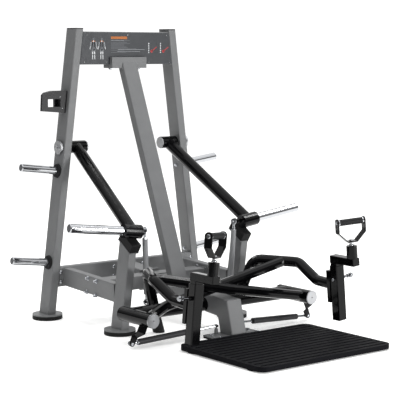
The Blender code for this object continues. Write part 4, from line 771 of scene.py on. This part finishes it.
def makeHandleTrim():
    plate = chromePlated("chromeCollars")
    steps = handleTrim["steps"]
    for sideName, side in sides.items():
        centre, along = onSide("gripCentre", side), np.array(linkage["gripAxis"][sideName])
        rings = [turnedGrid(handleTrim["gripRing"], centre, along * way, steps) for way in (1, -1)]
        meshObject("gripRings_" + sideName, *joined(rings), plate, "grip_" + sideName, "chrome")
        base, upward = onSide("swivelBase", side), onSide("postAxis", side)
        neck = turnedGrid(handleTrim["swivelNeck"], base, upward, steps)
        meshObject("swivelNeck_" + sideName, *neck, plate, "strap_" + sideName, "chrome")


makeHandleTrim()
print("handle trim made")


# Print on the header panel: plain figures and lines, with no words

panelPrint = {
    "frontY": 0.7873,                    # just proud of the sheet
    "inkMm": 0.15,
    "raisedInks": ("orange", "red"), "raisedBy": 0.00005,     # printed over the others
    "figureX": (-0.2290, -0.1735),
    "figureFootZ": 1.4505,
    "figureHeight": 0.121,
    "lineLeftX": -0.111,
    # height, indent and length of each line, by ink
    "brightLines": [(1.5555, 0.0, 0.090), (1.5050, 0.047, 0.186), (1.4937, 0.044, 0.157)],
    "dimLines": [(1.5555, 0.090, 0.039), (1.5453, 0.0, 0.110), (1.5387, 0.0, 0.132), (1.5326, 0.0, 0.091),
                 (1.5264, 0.0, 0.091), (1.5203, 0.0, 0.107), (1.5152, 0.0, 0.116), (1.5096, 0.0, 0.173),
                 (1.5009, 0.0, 0.091), (1.4886, 0.0, 0.104)],
    "lineThickness": 0.0024,
    "barZ": 1.5712, "barHeight": 0.0140, "barLength": 0.111,
}

# Shares of a figure's height. A bar is: ink, x and height of one end, of the other end, and the two widths
figure = {
    "headHeight": 0.935, "headRadius": 0.052,
    "middle": {
        "trunk": ("dim", 0.0, 0.80, 0.0, 0.40, 0.17, 0.13),
        "neck": ("pale", 0.0, 0.865, 0.0, 0.80, 0.05, 0.08),
    },
    "pairs": {
        "shoulder": ("orange", 0.025, 0.855, 0.085, 0.815, 0.035, 0.045),
        "flank": ("grey", 0.055, 0.80, 0.040, 0.55, 0.045, 0.030),
        "upperArm": ("grey", 0.135, 0.79, 0.165, 0.62, 0.055, 0.042),
        "forearm": ("pale", 0.170, 0.60, 0.205, 0.46, 0.040, 0.028),
        "hip": ("grey", 0.050, 0.47, 0.055, 0.38, 0.070, 0.075),
        "thigh": ("pale", 0.052, 0.355, 0.056, 0.225, 0.070, 0.050),
        "shin": ("pale", 0.060, 0.195, 0.060, 0.02, 0.048, 0.032),
        "foot": ("pale", 0.064, 0.02, 0.068, 0.0, 0.040, 0.055),
    },
}

# A small drawing of the machine; its x values run from its own middle
icon = {
    "x": (0.184, 0.268), "z": (1.4845, 1.545),
    "marks": 6, "firstMark": 0.02, "markStep": 0.17,          # shares of the icon's height
    "markX": -0.0345, "markWidth": 0.0065, "markHeight": 0.0062,
    "uprightX": 0.0285, "uprightWidth": 0.004,
    "footX": (-0.018, 0.030), "footRise": 0.001, "footWidth": 0.003,
    "leverX": (-0.011, 0.026), "leverZ": (1.4955, 1.5200), "leverWidths": (0.0060, 0.0042),
    "weightRadius": 0.0085,
}


def flatShapes(name, outlines, material, lift):
    # Each outline is a convex polygon of (x, z), made into a slab as deep as the ink
    front = panelPrint["frontY"] - lift
    back = front + panelPrint["inkMm"] / 1000
    points, faces = [], []
    for outline in outlines:
        outline = np.array(outline, float)
        # The area's sign says which way round the corners run: x[i] * z[i + 1] - x[i + 1] * z[i], summed
        following = np.roll(outline, -1, axis=0)
        if (outline[:, 0] * following[:, 1] - following[:, 0] * outline[:, 1]).sum() < 0:
            outline = outline[::-1]
        count = len(outline)
        start = len(points)
        for y in (front, back):
            points += [(x, y, z) for x, z in outline]
        faces.append([start + i for i in range(count)])
        faces.append([start + count + i for i in reversed(range(count))])
        for i in range(count):
            j = (i + 1) % count
            faces.append([start + j, start + i, start + count + i, start + count + j])
    mesh = bpy.data.meshes.new(name)
    mesh.from_pydata(points, [], faces)
    mesh.update()
    mesh.materials.append(material)
    piece = bpy.data.objects.new(name, mesh)
    bpy.context.collection.objects.link(piece)
    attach(piece, "frame")


def limb(x0, z0, x1, z1, wide0, wide1):
    # A tapered bar between two points
    along = np.array([x1 - x0, z1 - z0])
    along = along / np.linalg.norm(along)
    across = np.array([-along[1], along[0]])
    a, b = np.array([x0, z0]), np.array([x1, z1])
    return [tuple(a - across * wide0 / 2), tuple(b - across * wide1 / 2), tuple(b + across * wide1 / 2),
            tuple(a + across * wide0 / 2)]


def disc(x, z, radius, count=20):
    turn = np.arange(count) * 2 * pi / count
    return list(zip((x + radius * np.cos(turn)).tolist(), (z + radius * np.sin(turn)).tolist()))


def figureShapes(x, foot, unit):
    # Outlines of a plain standing figure by ink; unit is its height
    def bar(side, x0, z0, x1, z1, wide0, wide1):
        return limb(x + side * x0 * unit, foot + z0 * unit, x + side * x1 * unit, foot + z1 * unit,
                    wide0 * unit, wide1 * unit)

    head = disc(x, foot + figure["headHeight"] * unit, figure["headRadius"] * unit)
    shapes = {"pale": [], "grey": [], "dim": [head], "orange": []}
    for ink, *ends in figure["middle"].values():
        shapes[ink].append(bar(1, *ends))
    for side in sides.values():
        for ink, *ends in figure["pairs"].values():
            shapes[ink].append(bar(side, *ends))
    return shapes


def rectangle(left, low, width, height):
    return [(left, low), (left + width, low), (left + width, low + height), (left, low + height)]


def iconShapes(x):
    # A scale on the left, a dark upright and foot, and a red lever with a weight at its low end
    low, high = icon["z"]
    shares = [icon["firstMark"] + icon["markStep"] * step for step in range(icon["marks"])]
    marks = [rectangle(x + icon["markX"], low + (high - low) * share, icon["markWidth"], icon["markHeight"])
             for share in shares]
    uprightX, footZ = x + icon["uprightX"], low + icon["footRise"]
    (leverX, leverEndX), (leverZ, leverEndZ) = icon["leverX"], icon["leverZ"]
    return {
        "pale": marks,
        "dark": [limb(uprightX, low, uprightX, high, icon["uprightWidth"], icon["uprightWidth"]),
                 limb(x + icon["footX"][0], footZ, x + icon["footX"][1], footZ, icon["footWidth"],
                      icon["footWidth"])],
        "red": [limb(x + leverX, leverZ, x + leverEndX, leverEndZ, *icon["leverWidths"]),
                disc(x + leverX, leverZ, icon["weightRadius"])],
    }


def textShapes():
    left, thick = panelPrint["lineLeftX"], panelPrint["lineThickness"]
    shapes = {}
    for ink, lines in (("grey", panelPrint["brightLines"]), ("dim", panelPrint["dimLines"])):
        shapes[ink] = [rectangle(left + indent, z - thick / 2, length, thick) for z, indent, length in lines]
    height = panelPrint["barHeight"]
    shapes["orange"] = [rectangle(left, panelPrint["barZ"] - height / 2, panelPrint["barLength"], height)]
    return shapes


def printPanel():
    groups = [figureShapes(x, panelPrint["figureFootZ"], panelPrint["figureHeight"])
              for x in panelPrint["figureX"]]
    groups += [textShapes()] + [iconShapes(x) for x in icon["x"]]
    for ink, colours in screenInk["colours"].items():
        outlines = [outline for group in groups for outline in group.get(ink, [])]
        lift = panelPrint["raisedBy"] if ink in panelPrint["raisedInks"] else 0.0
        flatShapes(ink + "Print", outlines, printInk(ink + "ScreenInk", colours), lift)


printPanel()
print("panel printed")


# Floor

def makeFloor():
    half = studio["floorSize"] / 2
    mesh = bpy.data.meshes.new("studioFloor")
    corners = [(-half, -half, 0), (half, -half, 0), (half, half, 0), (-half, half, 0)]
    mesh.from_pydata(corners, [], [(0, 1, 2, 3)])
    floor = bpy.data.objects.new("studioFloor", mesh)
    floor.location.z = -studio["floorDrop"]
    settings = {"Roughness": studio["floorRoughness"], "Emission Strength": studio["floorGlow"]}
    material, tree, shader, place = newMaterial("palePaper", settings)
    fibre = speckle(tree, place, studio["fibreMm"], detail=3.0)
    setColour(tree, shader, fibre, studio["floorHex"], studio["floorPaleHex"])
    mesh.materials.append(material)
    bpy.context.collection.objects.link(floor)


makeFloor()
print("floor laid")
